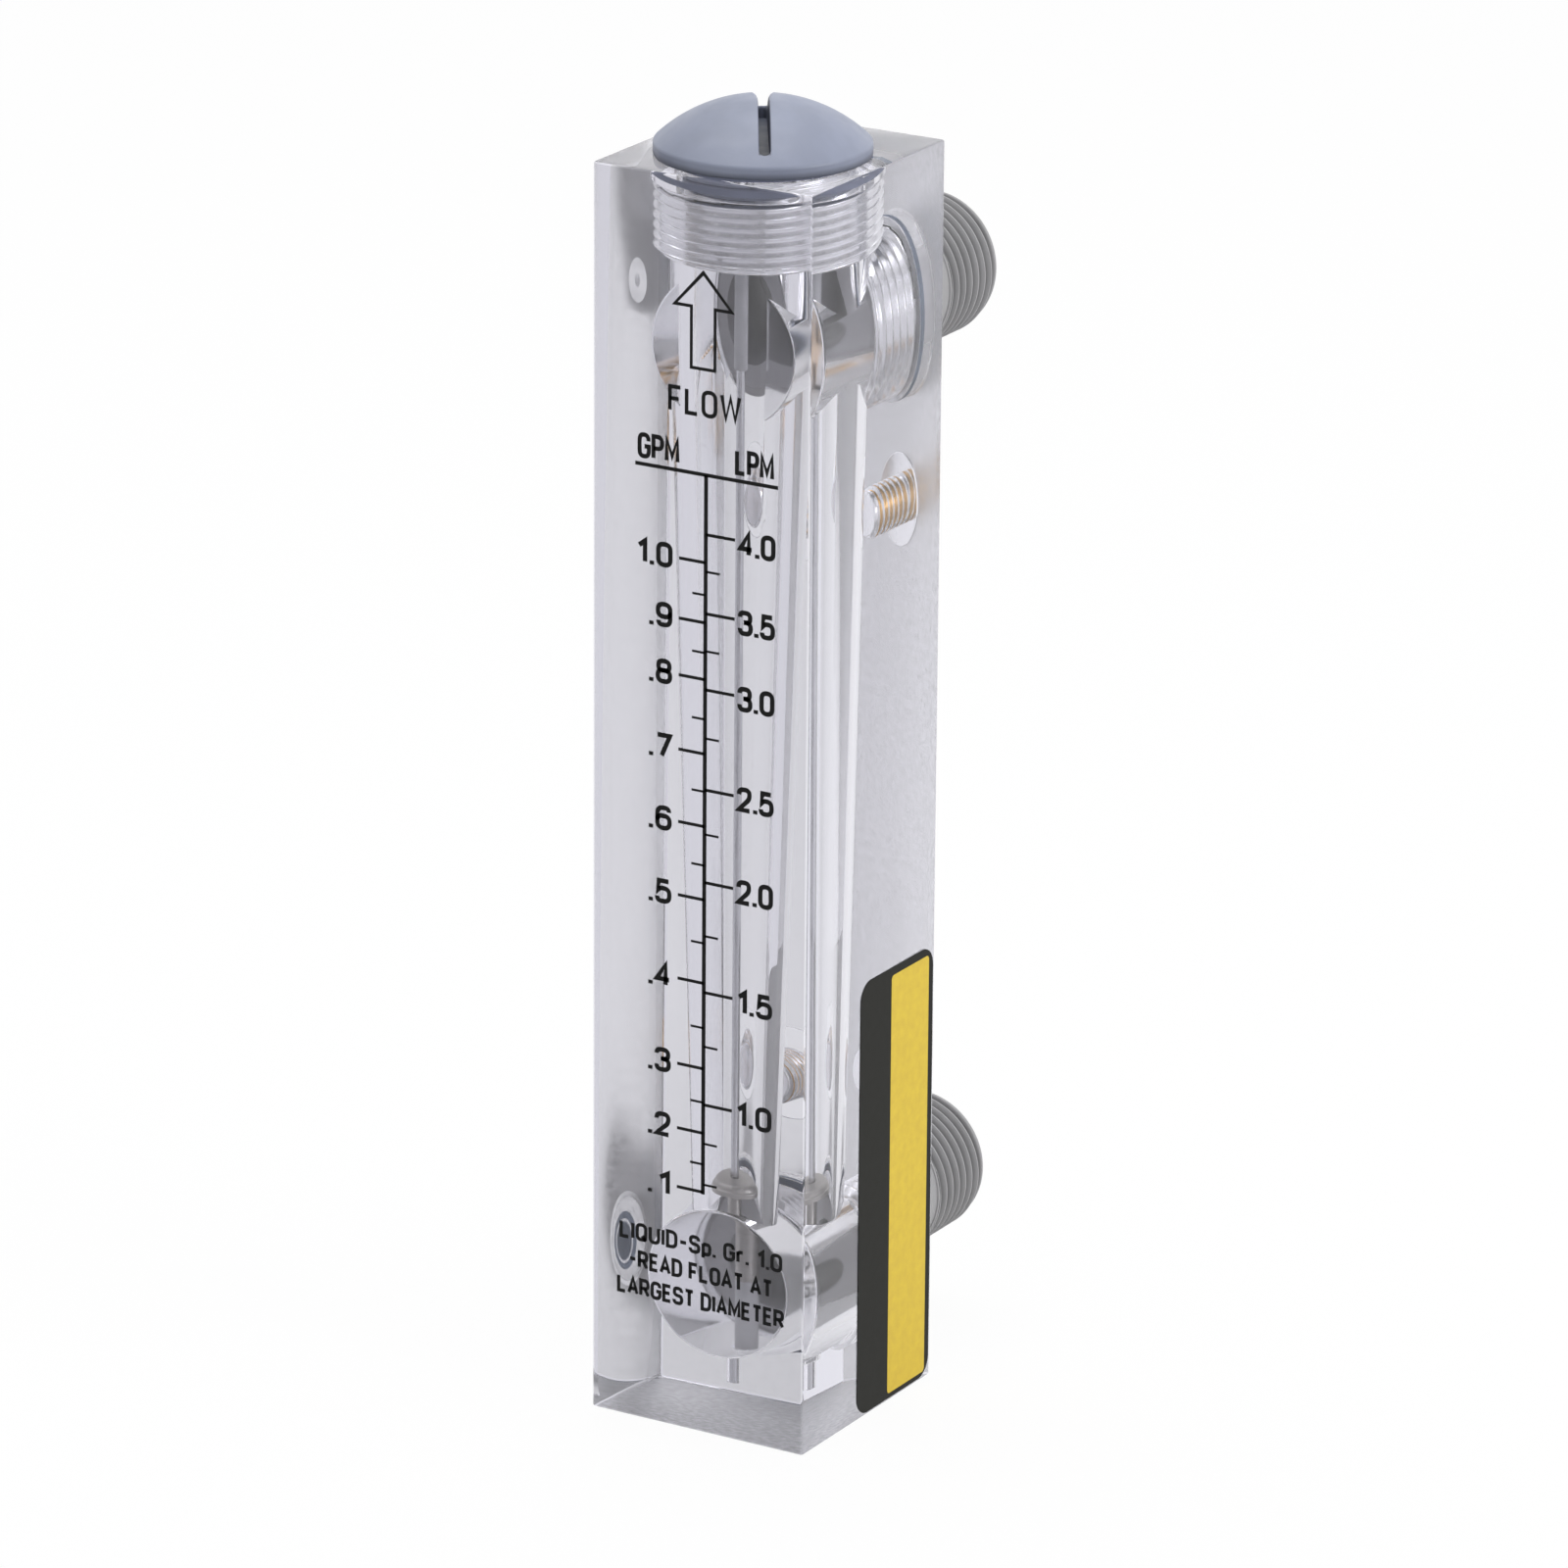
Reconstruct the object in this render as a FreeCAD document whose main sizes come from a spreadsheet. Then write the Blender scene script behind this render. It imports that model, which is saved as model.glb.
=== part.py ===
import FreeCAD, Part
import Sketcher
import math
import os

"""Acrylic block rotameter: a float rides on a rod in a tapered bore, with both ports at the back.

The block's base centre is the origin, +Z is up, the scale faces -Y and the ports face +Y.
Lengths are in millimetres.
"""

SIZES = {
    # clear block
    "block_width": 34.6,
    "block_depth": 35.5,
    "block_height": 182.0,
    "edge_bevel": 0.4,
    # vertical bore
    "bore_from_front": 15.9,
    "taper_low_radius": 5.7,
    "taper_high_radius": 9.8,
    "rod_hole_floor": 5.45,
    # ports: the lower one up from the base, the upper one under the plug, both in from the back
    "inlet_height": 20.95,
    "plug_port_wall": 0.6,
    "chamber_radius": 10.9,
    "chamber_depth": 26.75,
    "port_thread_radius": 11.5,
    "port_thread_depth": 14.1,
    "port_recess_radius": 12.9,
    "port_recess_depth": 3.65,
    # threaded inserts in the back
    "insert_radius": 3.65,
    "insert_length": 7.3,
    "insert_hole_radius": 2.1,
    "insert_relief": 0.5,
    "insert_offset": 40.0,
    "spot_face_radius": 6.65,
    "spot_face_depth": 0.3,
    # plug in the top
    "plug_hole_depth": 13.85,
    "plug_thread_radius": 11.85,
    "plug_recess_radius": 12.9,
    "plug_recess_depth": 3.8,
    "plug_neck_radius": 12.65,
    "plug_lead": 0.75,
    "plug_floor_gap": 0.2,
    "head_radius": 15.0,
    "head_rim": 1.75,
    "head_rise": 6.1,
    "head_round": 0.3,
    "slot_width": 1.6,
    "slot_floor": 1.45,
    "slot_reach": 13.45,
    "slot_turn": 32.0,
    # guide rod and its stops
    "rod_radius": 0.9,
    "rod_socket_depth": 6.8,
    "rod_end_gap": 0.5,
    "stop_radius": 1.45,
    "stop_seat_margin": 0.35,
    "stop_seat_depth": 0.55,
    "lower_stop_length": 10.55,
    "upper_stop_length": 17.3,
    # float
    "float_radius": 5.0,
    "float_edge": 0.8,
    "float_crown": 1.0,
    "float_round": 0.6,
    "float_tail_radius": 1.45,
    "float_tail_length": 13.6,
    "float_mouth_radius": 1.35,
    "float_mouth_depth": 0.4,
    # connectors
    "pipe_thread_radius": 10.48,
    "pipe_thread_length": 14.7,
    "pipe_thread_pitch": 1.814,
    "pipe_thread_depth": 1.14,
    "pipe_thread_crest": 0.4,
    "pipe_thread_root": 0.3,
    "pipe_tip_length": 2.0,
    "pipe_shank_radius": 10.2,
    "pipe_reach": 28.7,
    "pipe_bore_radius": 6.8,
    "pipe_chamfer": 1.0,
    "collar_radius": 12.75,
    "hex_across": 21.85,
    "hex_length": 7.3,
    "hex_bevel": 1.0,
    "pipe_mouth_bevel": 0.55,
    # seals
    "seal_section": 0.68,
    # side label
    "label_width": 20.0,
    "label_height": 65.0,
    "label_back_margin": 0.65,
    "label_foot_margin": 0.45,
    "label_thickness": 0.15,
    "label_corner": 2.9,
    # clearances
    "slide_fit": 0.06,
    "close_fit": 0.02,
}


class Size:
    """A length that keeps the sheet expression it comes from."""

    def __init__(self, value, text):
        self.value = value
        self.text = text

    def __add__(self, other):
        other = as_size(other)
        return Size(self.value + other.value, "(%s + %s)" % (self.text, other.text))

    def __sub__(self, other):
        other = as_size(other)
        return Size(self.value - other.value, "(%s - %s)" % (self.text, other.text))

    def __mul__(self, other):
        other = as_size(other)
        return Size(self.value * other.value, "(%s * %s)" % (self.text, other.text))

    def __truediv__(self, other):
        other = as_size(other)
        return Size(self.value / other.value, "(%s / %s)" % (self.text, other.text))

    def __neg__(self):
        return Size(-self.value, "(0 - %s)" % self.text)


class Sheet:
    """The sizes as attributes, each bound to its cell."""

    def __init__(self, document, sizes):
        cells = document.addObject("Spreadsheet::Sheet", "Sizes")
        for row, (name, value) in enumerate(sizes.items(), 1):
            cells.set("A%d" % row, name.replace("_", " "))
            cells.set("B%d" % row, str(value))
            cells.setAlias("B%d" % row, name)
            setattr(self, name, Size(value, "Sizes." + name))


def as_size(number):
    """A Size from a Size or a plain number."""
    if isinstance(number, Size):
        return number
    return Size(float(number), repr(float(number)))


ZERO = as_size(0)
ROOT_POINT = (-1, 1)
FORWARD_ENDS = (1, 2)
BACKWARD_ENDS = (2, 1)

document = FreeCAD.newDocument("Rotameter")
size = Sheet(document, SIZES)
document.recompute()


# ---- places shared by several pieces ----

block_back = size.block_depth / 2
block_front = -block_back
bore_y = block_front + size.bore_from_front
plug_hole_floor = size.block_height - size.plug_hole_depth
outlet_height = plug_hole_floor - size.plug_port_wall - size.port_thread_radius
port_middle = (size.inlet_height + outlet_height) / 2
recess_floor_y = block_back - size.port_recess_depth
spot_floor_y = block_back - size.spot_face_depth
rod_hole_radius = size.rod_radius + size.close_fit
stop_seat = size.inlet_height - size.chamber_radius - size.stop_seat_depth
plug_floor = plug_hole_floor + size.plug_floor_gap
plug_recess_floor = size.block_height - size.plug_recess_depth
float_foot = stop_seat + size.lower_stop_length
float_rim = float_foot + size.float_tail_length
seal_height = size.seal_section * 2 + size.close_fit * 2


# ---- tools for sketches and features ----

def new_body(name):
    """An empty body whose label names its file."""
    body = document.addObject("PartDesign::Body", name)
    body.Label = name
    return body


def plane_of(body, role):
    """One of the body's own origin planes."""
    for feature in body.Origin.OriginFeatures:
        if feature.Role == role:
            return feature
    raise ValueError(role)


def new_sketch(body, name, role, shift=(ZERO, ZERO, ZERO)):
    """A sketch on an origin plane, shifted in the plane's own axes."""
    sketch = body.newObject("Sketcher::SketchObject", name)
    sketch.AttachmentSupport = [(plane_of(body, role), "")]
    sketch.MapMode = "FlatFace"
    for axis, length in zip("xyz", shift):
        sketch.setExpression("AttachmentOffset.Base." + axis, length.text)
    document.recompute()
    return sketch


def bind(sketch, kind, place, length):
    """Adds one dimension and ties it to the sheet."""
    index = sketch.addConstraint(Sketcher.Constraint(kind, *place, length.value))
    sketch.setExpression("Constraints[%d]" % index, length.text)


def arc_between(start, end, radius):
    """A short arc from start to end that bulges to the right of the way from one to the other."""
    chord = end - start
    side = FreeCAD.Vector(chord.y, -chord.x, 0).normalize()
    rise = radius - math.sqrt(radius ** 2 - (chord.Length / 2) ** 2)
    return Part.Arc(start, (start + end) / 2 + side * rise, end)


def add_outline(sketch, corners):
    """A closed outline through corners (across, along) or (across, along, radius of the arc to it)."""
    points = [FreeCAD.Vector(corner[0].value, corner[1].value, 0) for corner in corners]
    first = sketch.GeometryCount
    ends = []
    for number, corner in enumerate(corners):
        start = points[number - 1]
        end = points[number]
        if len(corner) == 2:
            index = sketch.addGeometry(Part.LineSegment(start, end), False)
        else:
            index = sketch.addGeometry(arc_between(start, end, corner[2].value), False)
        forward = sketch.getPoint(index, FORWARD_ENDS[1]).distanceToPoint(end) < 1e-6
        ends.append(FORWARD_ENDS if forward else BACKWARD_ENDS)
    for number, corner in enumerate(corners):
        following = (number + 1) % len(corners)
        here = (first + number, ends[number][1])
        there = (first + following, ends[following][0])
        sketch.addConstraint(Sketcher.Constraint("Coincident", *here, *there))
        bind(sketch, "DistanceX", (*ROOT_POINT, *here), corner[0])
        bind(sketch, "DistanceY", (*ROOT_POINT, *here), corner[1])
        if len(corner) == 3:
            bind(sketch, "Radius", (first + number,), corner[2])


def turn(body, name, kind, sketch, axis, angle=360.0):
    """A revolution or groove of the sketch about one of its own axes, full unless an angle is given."""
    feature = body.newObject("PartDesign::" + kind, name)
    feature.Profile = sketch
    feature.ReferenceAxis = (sketch, [axis])
    feature.Angle = angle
    sketch.Visibility = False
    document.recompute()
    return feature


def raise_sketch(body, name, kind, sketch, length):
    """A pad, or a pocket towards the same side, with its length on the sheet."""
    feature = body.newObject("PartDesign::" + kind, name)
    feature.Profile = sketch
    feature.Reversed = kind == "Pocket"
    feature.setExpression("Length", length.text)
    sketch.Visibility = False
    document.recompute()
    return feature


def dress(body, name, kind, base, chosen, length):
    """A fillet or chamfer on the base's edges for which chosen(edge) holds."""
    names = ["Edge%d" % (number + 1) for number, edge in enumerate(base.Shape.Edges) if chosen(edge)]
    feature = body.newObject("PartDesign::" + kind, name)
    feature.Base = (base, names)
    feature.setExpression("Radius" if kind == "Fillet" else "Size", length.text)
    document.recompute()
    return feature


def is_ring(edge, radius, place):
    """True for a full level circle of that radius at that height."""
    around = abs(edge.Length - 2 * math.pi * radius.value) < 1e-4
    level = abs(edge.BoundBox.ZMin - place.value) < 1e-4 and abs(edge.BoundBox.ZMax - place.value) < 1e-4
    return around and level


def rectangle(low, high):
    """The corners of an upright rectangle, counterclockwise from the lower left."""
    return [(low[0], low[1]), (high[0], low[1]), (high[0], high[1]), (low[0], high[1])]


def round_bar(name, radius, foot, top, hole=None):
    """A plain rod, or a sleeve with a hole, upright on the bore's axis."""
    body = new_body(name)
    sketch = new_sketch(body, name + "_section", "XZ_Plane", (ZERO, ZERO, -bore_y))
    inner = hole if hole else ZERO
    add_outline(sketch, rectangle((inner, foot), (radius, top)))
    turn(body, name + "_turned", "Revolution", sketch, "V_Axis")
    return body


def seal_ring(name, ring_radius, axis, centre):
    """A round-section ring about an axis through centre."""
    ring = document.addObject("Part::Torus", name)
    ring.Label = name
    ring.setExpression("Radius1", ring_radius.text)
    ring.setExpression("Radius2", size.seal_section.text)
    ring.Placement = FreeCAD.Placement(FreeCAD.Vector(), FreeCAD.Rotation(FreeCAD.Vector(0, 0, 1), axis))
    for letter, length in zip("xyz", centre):
        ring.setExpression("Placement.Base." + letter, length.text)
    document.recompute()
    return ring


# ---- the clear block ----

def vertical_bore(body):
    """Rod hole, stop's seat, tapered metering bore, plug thread and plug recess, in one turned cut."""
    sketch = new_sketch(body, "vertical_bore_section", "XZ_Plane", (ZERO, ZERO, -bore_y))
    seat_radius = size.stop_radius + size.stop_seat_margin
    add_outline(sketch, [
        (ZERO, size.rod_hole_floor),
        (rod_hole_radius, size.rod_hole_floor),
        (rod_hole_radius, stop_seat),
        (seat_radius, stop_seat),
        (seat_radius, size.inlet_height),
        (size.taper_low_radius, size.inlet_height),
        (size.taper_high_radius, outlet_height),
        (size.taper_high_radius, plug_hole_floor),
        (size.plug_thread_radius, plug_hole_floor),
        (size.plug_thread_radius, plug_recess_floor),
        (size.plug_recess_radius, plug_recess_floor),
        (size.plug_recess_radius, size.block_height),
        (ZERO, size.block_height),
    ])
    turn(body, "vertical_bore", "Groove", sketch, "V_Axis")


def port(body, name, height):
    """A flat-ended chamber with a thread and a recess for the connector's seal and collar."""
    sketch = new_sketch(body, name + "_section", "YZ_Plane", (ZERO, height, ZERO))
    chamber_end = block_back - size.chamber_depth
    thread_end = block_back - size.port_thread_depth
    add_outline(sketch, [
        (chamber_end, ZERO),
        (block_back, ZERO),
        (block_back, size.port_recess_radius),
        (recess_floor_y, size.port_recess_radius),
        (recess_floor_y, size.port_thread_radius),
        (thread_end, size.port_thread_radius),
        (thread_end, size.chamber_radius),
        (chamber_end, size.chamber_radius),
    ])
    turn(body, name, "Groove", sketch, "H_Axis")


def insert_hole(body, name, height):
    """A flat-ended hole for a threaded insert, with a shallow spot face around it."""
    sketch = new_sketch(body, name + "_section", "YZ_Plane", (ZERO, height, ZERO))
    hole_end = spot_floor_y - size.insert_length - size.insert_relief
    add_outline(sketch, [
        (hole_end, ZERO),
        (block_back, ZERO),
        (block_back, size.spot_face_radius),
        (spot_floor_y, size.spot_face_radius),
        (spot_floor_y, size.insert_radius),
        (hole_end, size.insert_radius),
    ])
    turn(body, name, "Groove", sketch, "H_Axis")


def meter_block():
    """The machined acrylic block with all its bores."""
    body = new_body("meter_block")
    sketch = new_sketch(body, "block_plan", "XY_Plane")
    half_width = size.block_width / 2
    add_outline(sketch, rectangle((-half_width, block_front), (half_width, block_back)))
    block = raise_sketch(body, "block", "Pad", sketch, size.block_height)
    dress(body, "block_edges", "Chamfer", block, lambda edge: True, size.edge_bevel)
    vertical_bore(body)
    port(body, "inlet_port", size.inlet_height)
    port(body, "outlet_port", outlet_height)
    insert_hole(body, "lower_insert_hole", port_middle - size.insert_offset)
    insert_hole(body, "upper_insert_hole", port_middle + size.insert_offset)
    return body


# ---- the plug ----

def plug_section(body):
    """Half section of the plug, from the rod socket round to the top of the dome."""
    sketch = new_sketch(body, "plug_section", "XZ_Plane", (ZERO, ZERO, -bore_y))
    top = size.block_height
    shank_radius = size.plug_thread_radius - size.close_fit
    groove_radius = size.plug_recess_radius - seal_height
    groove_foot = plug_recess_floor + size.plug_lead
    groove_top = groove_foot + seal_height
    rim_top = top + size.head_rim
    crown_radius = (size.head_radius * size.head_radius + size.head_rise * size.head_rise) / (size.head_rise * 2)
    add_outline(sketch, [
        (ZERO, plug_floor + size.rod_socket_depth),
        (rod_hole_radius, plug_floor + size.rod_socket_depth),
        (rod_hole_radius, plug_floor),
        (shank_radius - size.plug_lead, plug_floor),
        (shank_radius, plug_floor + size.plug_lead),
        (shank_radius, plug_recess_floor),
        (groove_radius, groove_foot),
        (groove_radius, groove_top),
        (size.plug_neck_radius, groove_top),
        (size.plug_neck_radius, top),
        (size.head_radius, top),
        (size.head_radius, rim_top),
        (ZERO, rim_top + size.head_rise, crown_radius),
    ])
    return sketch


def top_plug():
    """Screwed plug with a domed head, a coin slot that stops short of the rim, and the rod's socket."""
    body = new_body("top_plug")
    turned = turn(body, "plug_turned", "Revolution", plug_section(body), "V_Axis")
    rim_top = size.block_height + size.head_rim
    rounded = dress(
        body, "head_round_edge", "Fillet", turned,
        lambda edge: is_ring(edge, size.head_radius, rim_top), size.head_round,
    )
    floor = size.block_height + size.slot_floor
    sketch = new_sketch(body, "slot_plan", "XY_Plane", (ZERO, bore_y, floor))
    sketch.setExpression("AttachmentOffset.Rotation.Angle", size.slot_turn.text)
    half_width = size.slot_width / 2
    add_outline(sketch, rectangle((-half_width, -size.slot_reach), (half_width, size.slot_reach)))
    slot = raise_sketch(body, "slot", "Pocket", sketch, size.head_rim + size.head_rise)
    least_cut = size.slot_width.value * size.slot_reach.value
    if rounded.Shape.Volume - slot.Shape.Volume < least_cut:
        raise RuntimeError("the slot cuts nothing")
    return body


# ---- rod, stops and float ----

def guide_rod():
    """The rod from the hole in the block's foot to the plug's socket."""
    rod_top = plug_floor + size.rod_socket_depth - size.rod_end_gap
    return round_bar("guide_rod", size.rod_radius, size.rod_hole_floor, rod_top)


def lower_stop():
    """Sleeve from its seat in the inlet chamber's floor to the float's tail."""
    return round_bar("lower_stop", size.stop_radius, stop_seat, float_foot, rod_hole_radius)


def upper_stop():
    """Sleeve that hangs from the plug and ends the float's rise."""
    foot = plug_floor - size.upper_stop_length
    return round_bar("upper_stop", size.stop_radius, foot, plug_floor, rod_hole_radius)


def float_piece():
    """Crowned disc on a thin tail, bored to slide on the rod, with a dished mouth at the top."""
    body = new_body("float")
    sketch = new_sketch(body, "float_section", "XZ_Plane", (ZERO, ZERO, -bore_y))
    hole_radius = size.rod_radius + size.slide_fit
    edge_top = float_rim + size.float_edge
    crown = edge_top + size.float_crown
    flat_radius = size.float_radius - size.float_mouth_radius
    crown_radius = (flat_radius * flat_radius + size.float_crown * size.float_crown) / (size.float_crown * 2)
    add_outline(sketch, [
        (hole_radius, float_foot),
        (size.float_tail_radius, float_foot),
        (size.float_tail_radius, float_rim),
        (size.float_radius, float_rim),
        (size.float_radius, edge_top),
        (size.float_mouth_radius, crown, crown_radius),
        (hole_radius, crown - size.float_mouth_depth),
    ])
    turned = turn(body, "float_turned", "Revolution", sketch, "V_Axis")
    dress(
        body, "float_round_edge", "Fillet", turned,
        lambda edge: is_ring(edge, size.float_radius, edge_top), size.float_round,
    )
    return body


# ---- connectors, seals and inserts ----

def connector(name, height):
    """Hollow connector: block thread, collar in its recess, hexagon, plain shank and pipe thread."""
    body = new_body(name)
    hex_end = block_back + size.hex_length
    outer_end = block_back + size.pipe_reach
    inner_end = block_back - size.port_thread_depth + size.pipe_chamfer
    hexagon(body, name, height, hex_end)
    outside = new_sketch(body, name + "_outside", "YZ_Plane", (ZERO, height, ZERO))
    add_outline(outside, connector_outside(inner_end, outer_end))
    turn(body, name + "_turned", "Revolution", outside, "H_Axis")
    bore = new_sketch(body, name + "_bore", "YZ_Plane", (ZERO, height, ZERO))
    add_outline(bore, [
        (inner_end, ZERO),
        (outer_end, ZERO),
        (outer_end, size.pipe_bore_radius),
        (inner_end, size.pipe_bore_radius),
    ])
    turn(body, name + "_bored", "Groove", bore, "H_Axis")
    pipe_blank(body, name, height, outer_end)
    pipe_thread(body, name, height, outer_end)
    return body


def pipe_blank(body, name, height, outer_end):
    """The end that carries the thread, turned as one sixth and repeated, so each crest face stays short."""
    section = new_sketch(body, name + "_blank", "YZ_Plane", (ZERO, height, ZERO))
    thread_start = outer_end - size.pipe_thread_length
    add_outline(section, [
        (thread_start, size.pipe_bore_radius),
        (outer_end - size.pipe_mouth_bevel, size.pipe_bore_radius),
        (outer_end, size.pipe_bore_radius + size.pipe_mouth_bevel),
        (outer_end, size.pipe_thread_radius - size.pipe_chamfer),
        (outer_end - size.pipe_chamfer, size.pipe_thread_radius),
        (thread_start, size.pipe_thread_radius),
    ])
    sixth = turn(body, name + "_blank_sixth", "Revolution", section, "H_Axis", 60.0)
    ring = body.newObject("PartDesign::PolarPattern", name + "_blank_ring")
    ring.Originals = [sixth]
    ring.Axis = (section, ["H_Axis"])
    ring.Angle = 360.0
    ring.Occurrences = 6
    ring.Refine = False
    body.Tip = ring
    document.recompute()


def pipe_thread(body, name, height, outer_end):
    """Right-handed groove from the first crest to the plain tip; it leaves the crest between its turns."""
    groove = new_sketch(body, name + "_thread_groove", "YZ_Plane", (ZERO, height, ZERO))
    low_side = outer_end - size.pipe_thread_length + size.pipe_thread_crest
    mouth = size.pipe_thread_pitch - size.pipe_thread_crest
    root_low = low_side + (mouth - size.pipe_thread_root) / 2
    root_radius = size.pipe_thread_radius - size.pipe_thread_depth
    past_crest = size.pipe_thread_radius + size.pipe_thread_depth
    add_outline(groove, [
        (low_side, past_crest),
        (low_side, size.pipe_thread_radius),
        (root_low, root_radius),
        (root_low + size.pipe_thread_root, root_radius),
        (low_side + mouth, size.pipe_thread_radius),
        (low_side + mouth, past_crest),
    ])
    helix = body.newObject("PartDesign::SubtractiveHelix", name + "_thread")
    helix.Profile = groove
    helix.ReferenceAxis = (groove, ["H_Axis"])
    helix.Mode = "pitch-height-angle"
    helix.setExpression("Pitch", size.pipe_thread_pitch.text)
    length = size.pipe_thread_length - size.pipe_thread_crest - size.pipe_tip_length - mouth
    helix.setExpression("Height", length.text)
    helix.Refine = False
    groove.Visibility = False
    document.recompute()


def connector_outside(inner_end, outer_end):
    """Half outline of the connector's turned outside, from the axis round to the inner end."""
    shank_radius = size.port_thread_radius - size.close_fit
    collar_inner = recess_floor_y + seal_height
    thread_start = outer_end - size.pipe_thread_length
    return [
        (inner_end, ZERO),
        (thread_start, ZERO),
        (thread_start, size.pipe_shank_radius),
        (block_back, size.pipe_shank_radius),
        (block_back, size.collar_radius),
        (collar_inner, size.collar_radius),
        (collar_inner, shank_radius),
        (inner_end + size.pipe_chamfer, shank_radius),
        (inner_end, shank_radius - size.pipe_chamfer),
    ]


def hexagon(body, name, height, hex_end):
    """The wrench hexagon, flats to the sides, with its outer corners turned off."""
    flat = size.hex_across / 2
    corner = size.hex_across / math.sqrt(3)
    plan = new_sketch(body, name + "_hexagon", "XZ_Plane", (ZERO, height, -hex_end))
    add_outline(plan, [
        (flat, -corner / 2),
        (flat, corner / 2),
        (ZERO, corner),
        (-flat, corner / 2),
        (-flat, -corner / 2),
        (ZERO, -corner),
    ])
    raise_sketch(body, name + "_hexagon_pad", "Pad", plan, size.hex_length)
    bevel = new_sketch(body, name + "_hexagon_bevel", "YZ_Plane", (ZERO, height, ZERO))
    past_corner = corner * 2 - flat
    add_outline(bevel, [
        (hex_end, flat),
        (hex_end, past_corner),
        (hex_end - size.hex_bevel * 2, past_corner),
    ])
    turn(body, name + "_hexagon_turned", "Groove", bevel, "H_Axis")


def connector_seal(name, height):
    """Ring in the port recess, between its floor and the connector's collar."""
    ring_radius = size.port_thread_radius + size.seal_section + size.close_fit
    centre_y = recess_floor_y + seal_height / 2
    return seal_ring(name, ring_radius, FreeCAD.Vector(0, 1, 0), (ZERO, centre_y, height))


def plug_seal():
    """Ring in the plug's groove, against the wall of the block's recess."""
    ring_radius = size.plug_recess_radius - seal_height / 2
    centre_z = plug_recess_floor + size.plug_lead + seal_height / 2
    return seal_ring("plug_seal", ring_radius, FreeCAD.Vector(0, 0, 1), (ZERO, bore_y, centre_z))


def threaded_insert(name, height):
    """Brass insert pressed into the back, open at its outer end."""
    body = new_body(name)
    sketch = new_sketch(body, name + "_section", "YZ_Plane", (ZERO, height, ZERO))
    outer = size.insert_radius - size.close_fit
    inner_end = spot_floor_y - size.insert_length
    add_outline(sketch, rectangle((inner_end, size.insert_hole_radius), (spot_floor_y, outer)))
    turn(body, name + "_turned", "Revolution", sketch, "H_Axis")
    return body


# ---- the label ----

def side_label():
    """Thin sticker with round corners on the right side."""
    body = new_body("side_label")
    sketch = new_sketch(body, "label_outline", "YZ_Plane", (ZERO, ZERO, size.block_width / 2))
    high_y = block_back - size.label_back_margin
    low = (high_y - size.label_width, size.label_foot_margin)
    high = (high_y, size.label_foot_margin + size.label_height)
    add_outline(sketch, rectangle(low, high))
    sheet = raise_sketch(body, "label_sheet", "Pad", sketch, size.label_thickness)
    dress(
        body, "label_corners", "Fillet", sheet,
        lambda edge: abs(edge.Length - size.label_thickness.value) < 1e-6, size.label_corner,
    )
    return body


# ---- assembly and export ----

def build():
    """Every piece, in the order in which the meter goes together."""
    return [
        meter_block(),
        guide_rod(),
        lower_stop(),
        float_piece(),
        upper_stop(),
        top_plug(),
        plug_seal(),
        connector("inlet_connector", size.inlet_height),
        connector_seal("inlet_seal", size.inlet_height),
        connector("outlet_connector", outlet_height),
        connector_seal("outlet_seal", outlet_height),
        threaded_insert("lower_insert", port_middle - size.insert_offset),
        threaded_insert("upper_insert", port_middle + size.insert_offset),
        side_label(),
    ]


def check(pieces):
    """Stops if any object failed or any piece has no sound single solid."""
    for thing in document.Objects:
        if "Invalid" in thing.State or "Error" in thing.State:
            raise RuntimeError("failed: " + thing.Name)
    for piece in pieces:
        shape = piece.Shape
        if shape.isNull() or not shape.isValid() or len(shape.Solids) != 1:
            raise RuntimeError("bad shape: " + piece.Label)


pieces = build()
document.recompute()
check(pieces)
os.makedirs("parts", exist_ok=True)
for piece in pieces:
    piece.Shape.exportStep("parts/%s.step" % piece.Label)
    print("%-18s %10.1f mm3" % (piece.Label, piece.Shape.Volume))
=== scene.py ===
"""Looks of an acrylic block flow meter: a clear block with turned bores and threads, a slotted plug,
two threaded connectors, a float on a rod, a printed flow scale and a two-tone side sticker.

Shapes are worked out in millimetres and turned into metres when a piece is finished.
"""

import math

import bmesh
import bpy
import numpy as np
from mathutils import Matrix, Vector


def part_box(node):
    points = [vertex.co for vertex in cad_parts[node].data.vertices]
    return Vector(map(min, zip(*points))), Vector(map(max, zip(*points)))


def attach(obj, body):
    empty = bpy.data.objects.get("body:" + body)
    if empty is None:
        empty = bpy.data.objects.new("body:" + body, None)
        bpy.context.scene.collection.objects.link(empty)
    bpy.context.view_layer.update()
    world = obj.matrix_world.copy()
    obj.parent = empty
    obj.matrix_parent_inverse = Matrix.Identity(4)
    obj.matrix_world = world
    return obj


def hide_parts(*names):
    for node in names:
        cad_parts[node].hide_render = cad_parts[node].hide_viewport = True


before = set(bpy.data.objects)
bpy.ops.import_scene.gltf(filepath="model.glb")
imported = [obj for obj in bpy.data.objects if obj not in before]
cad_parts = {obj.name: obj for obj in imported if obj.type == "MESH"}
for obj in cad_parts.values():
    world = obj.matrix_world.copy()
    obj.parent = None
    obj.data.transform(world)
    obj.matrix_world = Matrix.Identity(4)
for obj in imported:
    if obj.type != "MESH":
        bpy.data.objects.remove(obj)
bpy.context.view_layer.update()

MM = 1000.0
COLUMNS = 144
THREAD_ROWS = 16
MERGE = 1e-4
SHARP = math.radians(33)


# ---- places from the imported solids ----

def node_box(node):
    """Lowest and highest corner of a node, in millimetres."""
    low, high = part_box(node)
    return np.array(low) * MM, np.array(high) * MM


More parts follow.
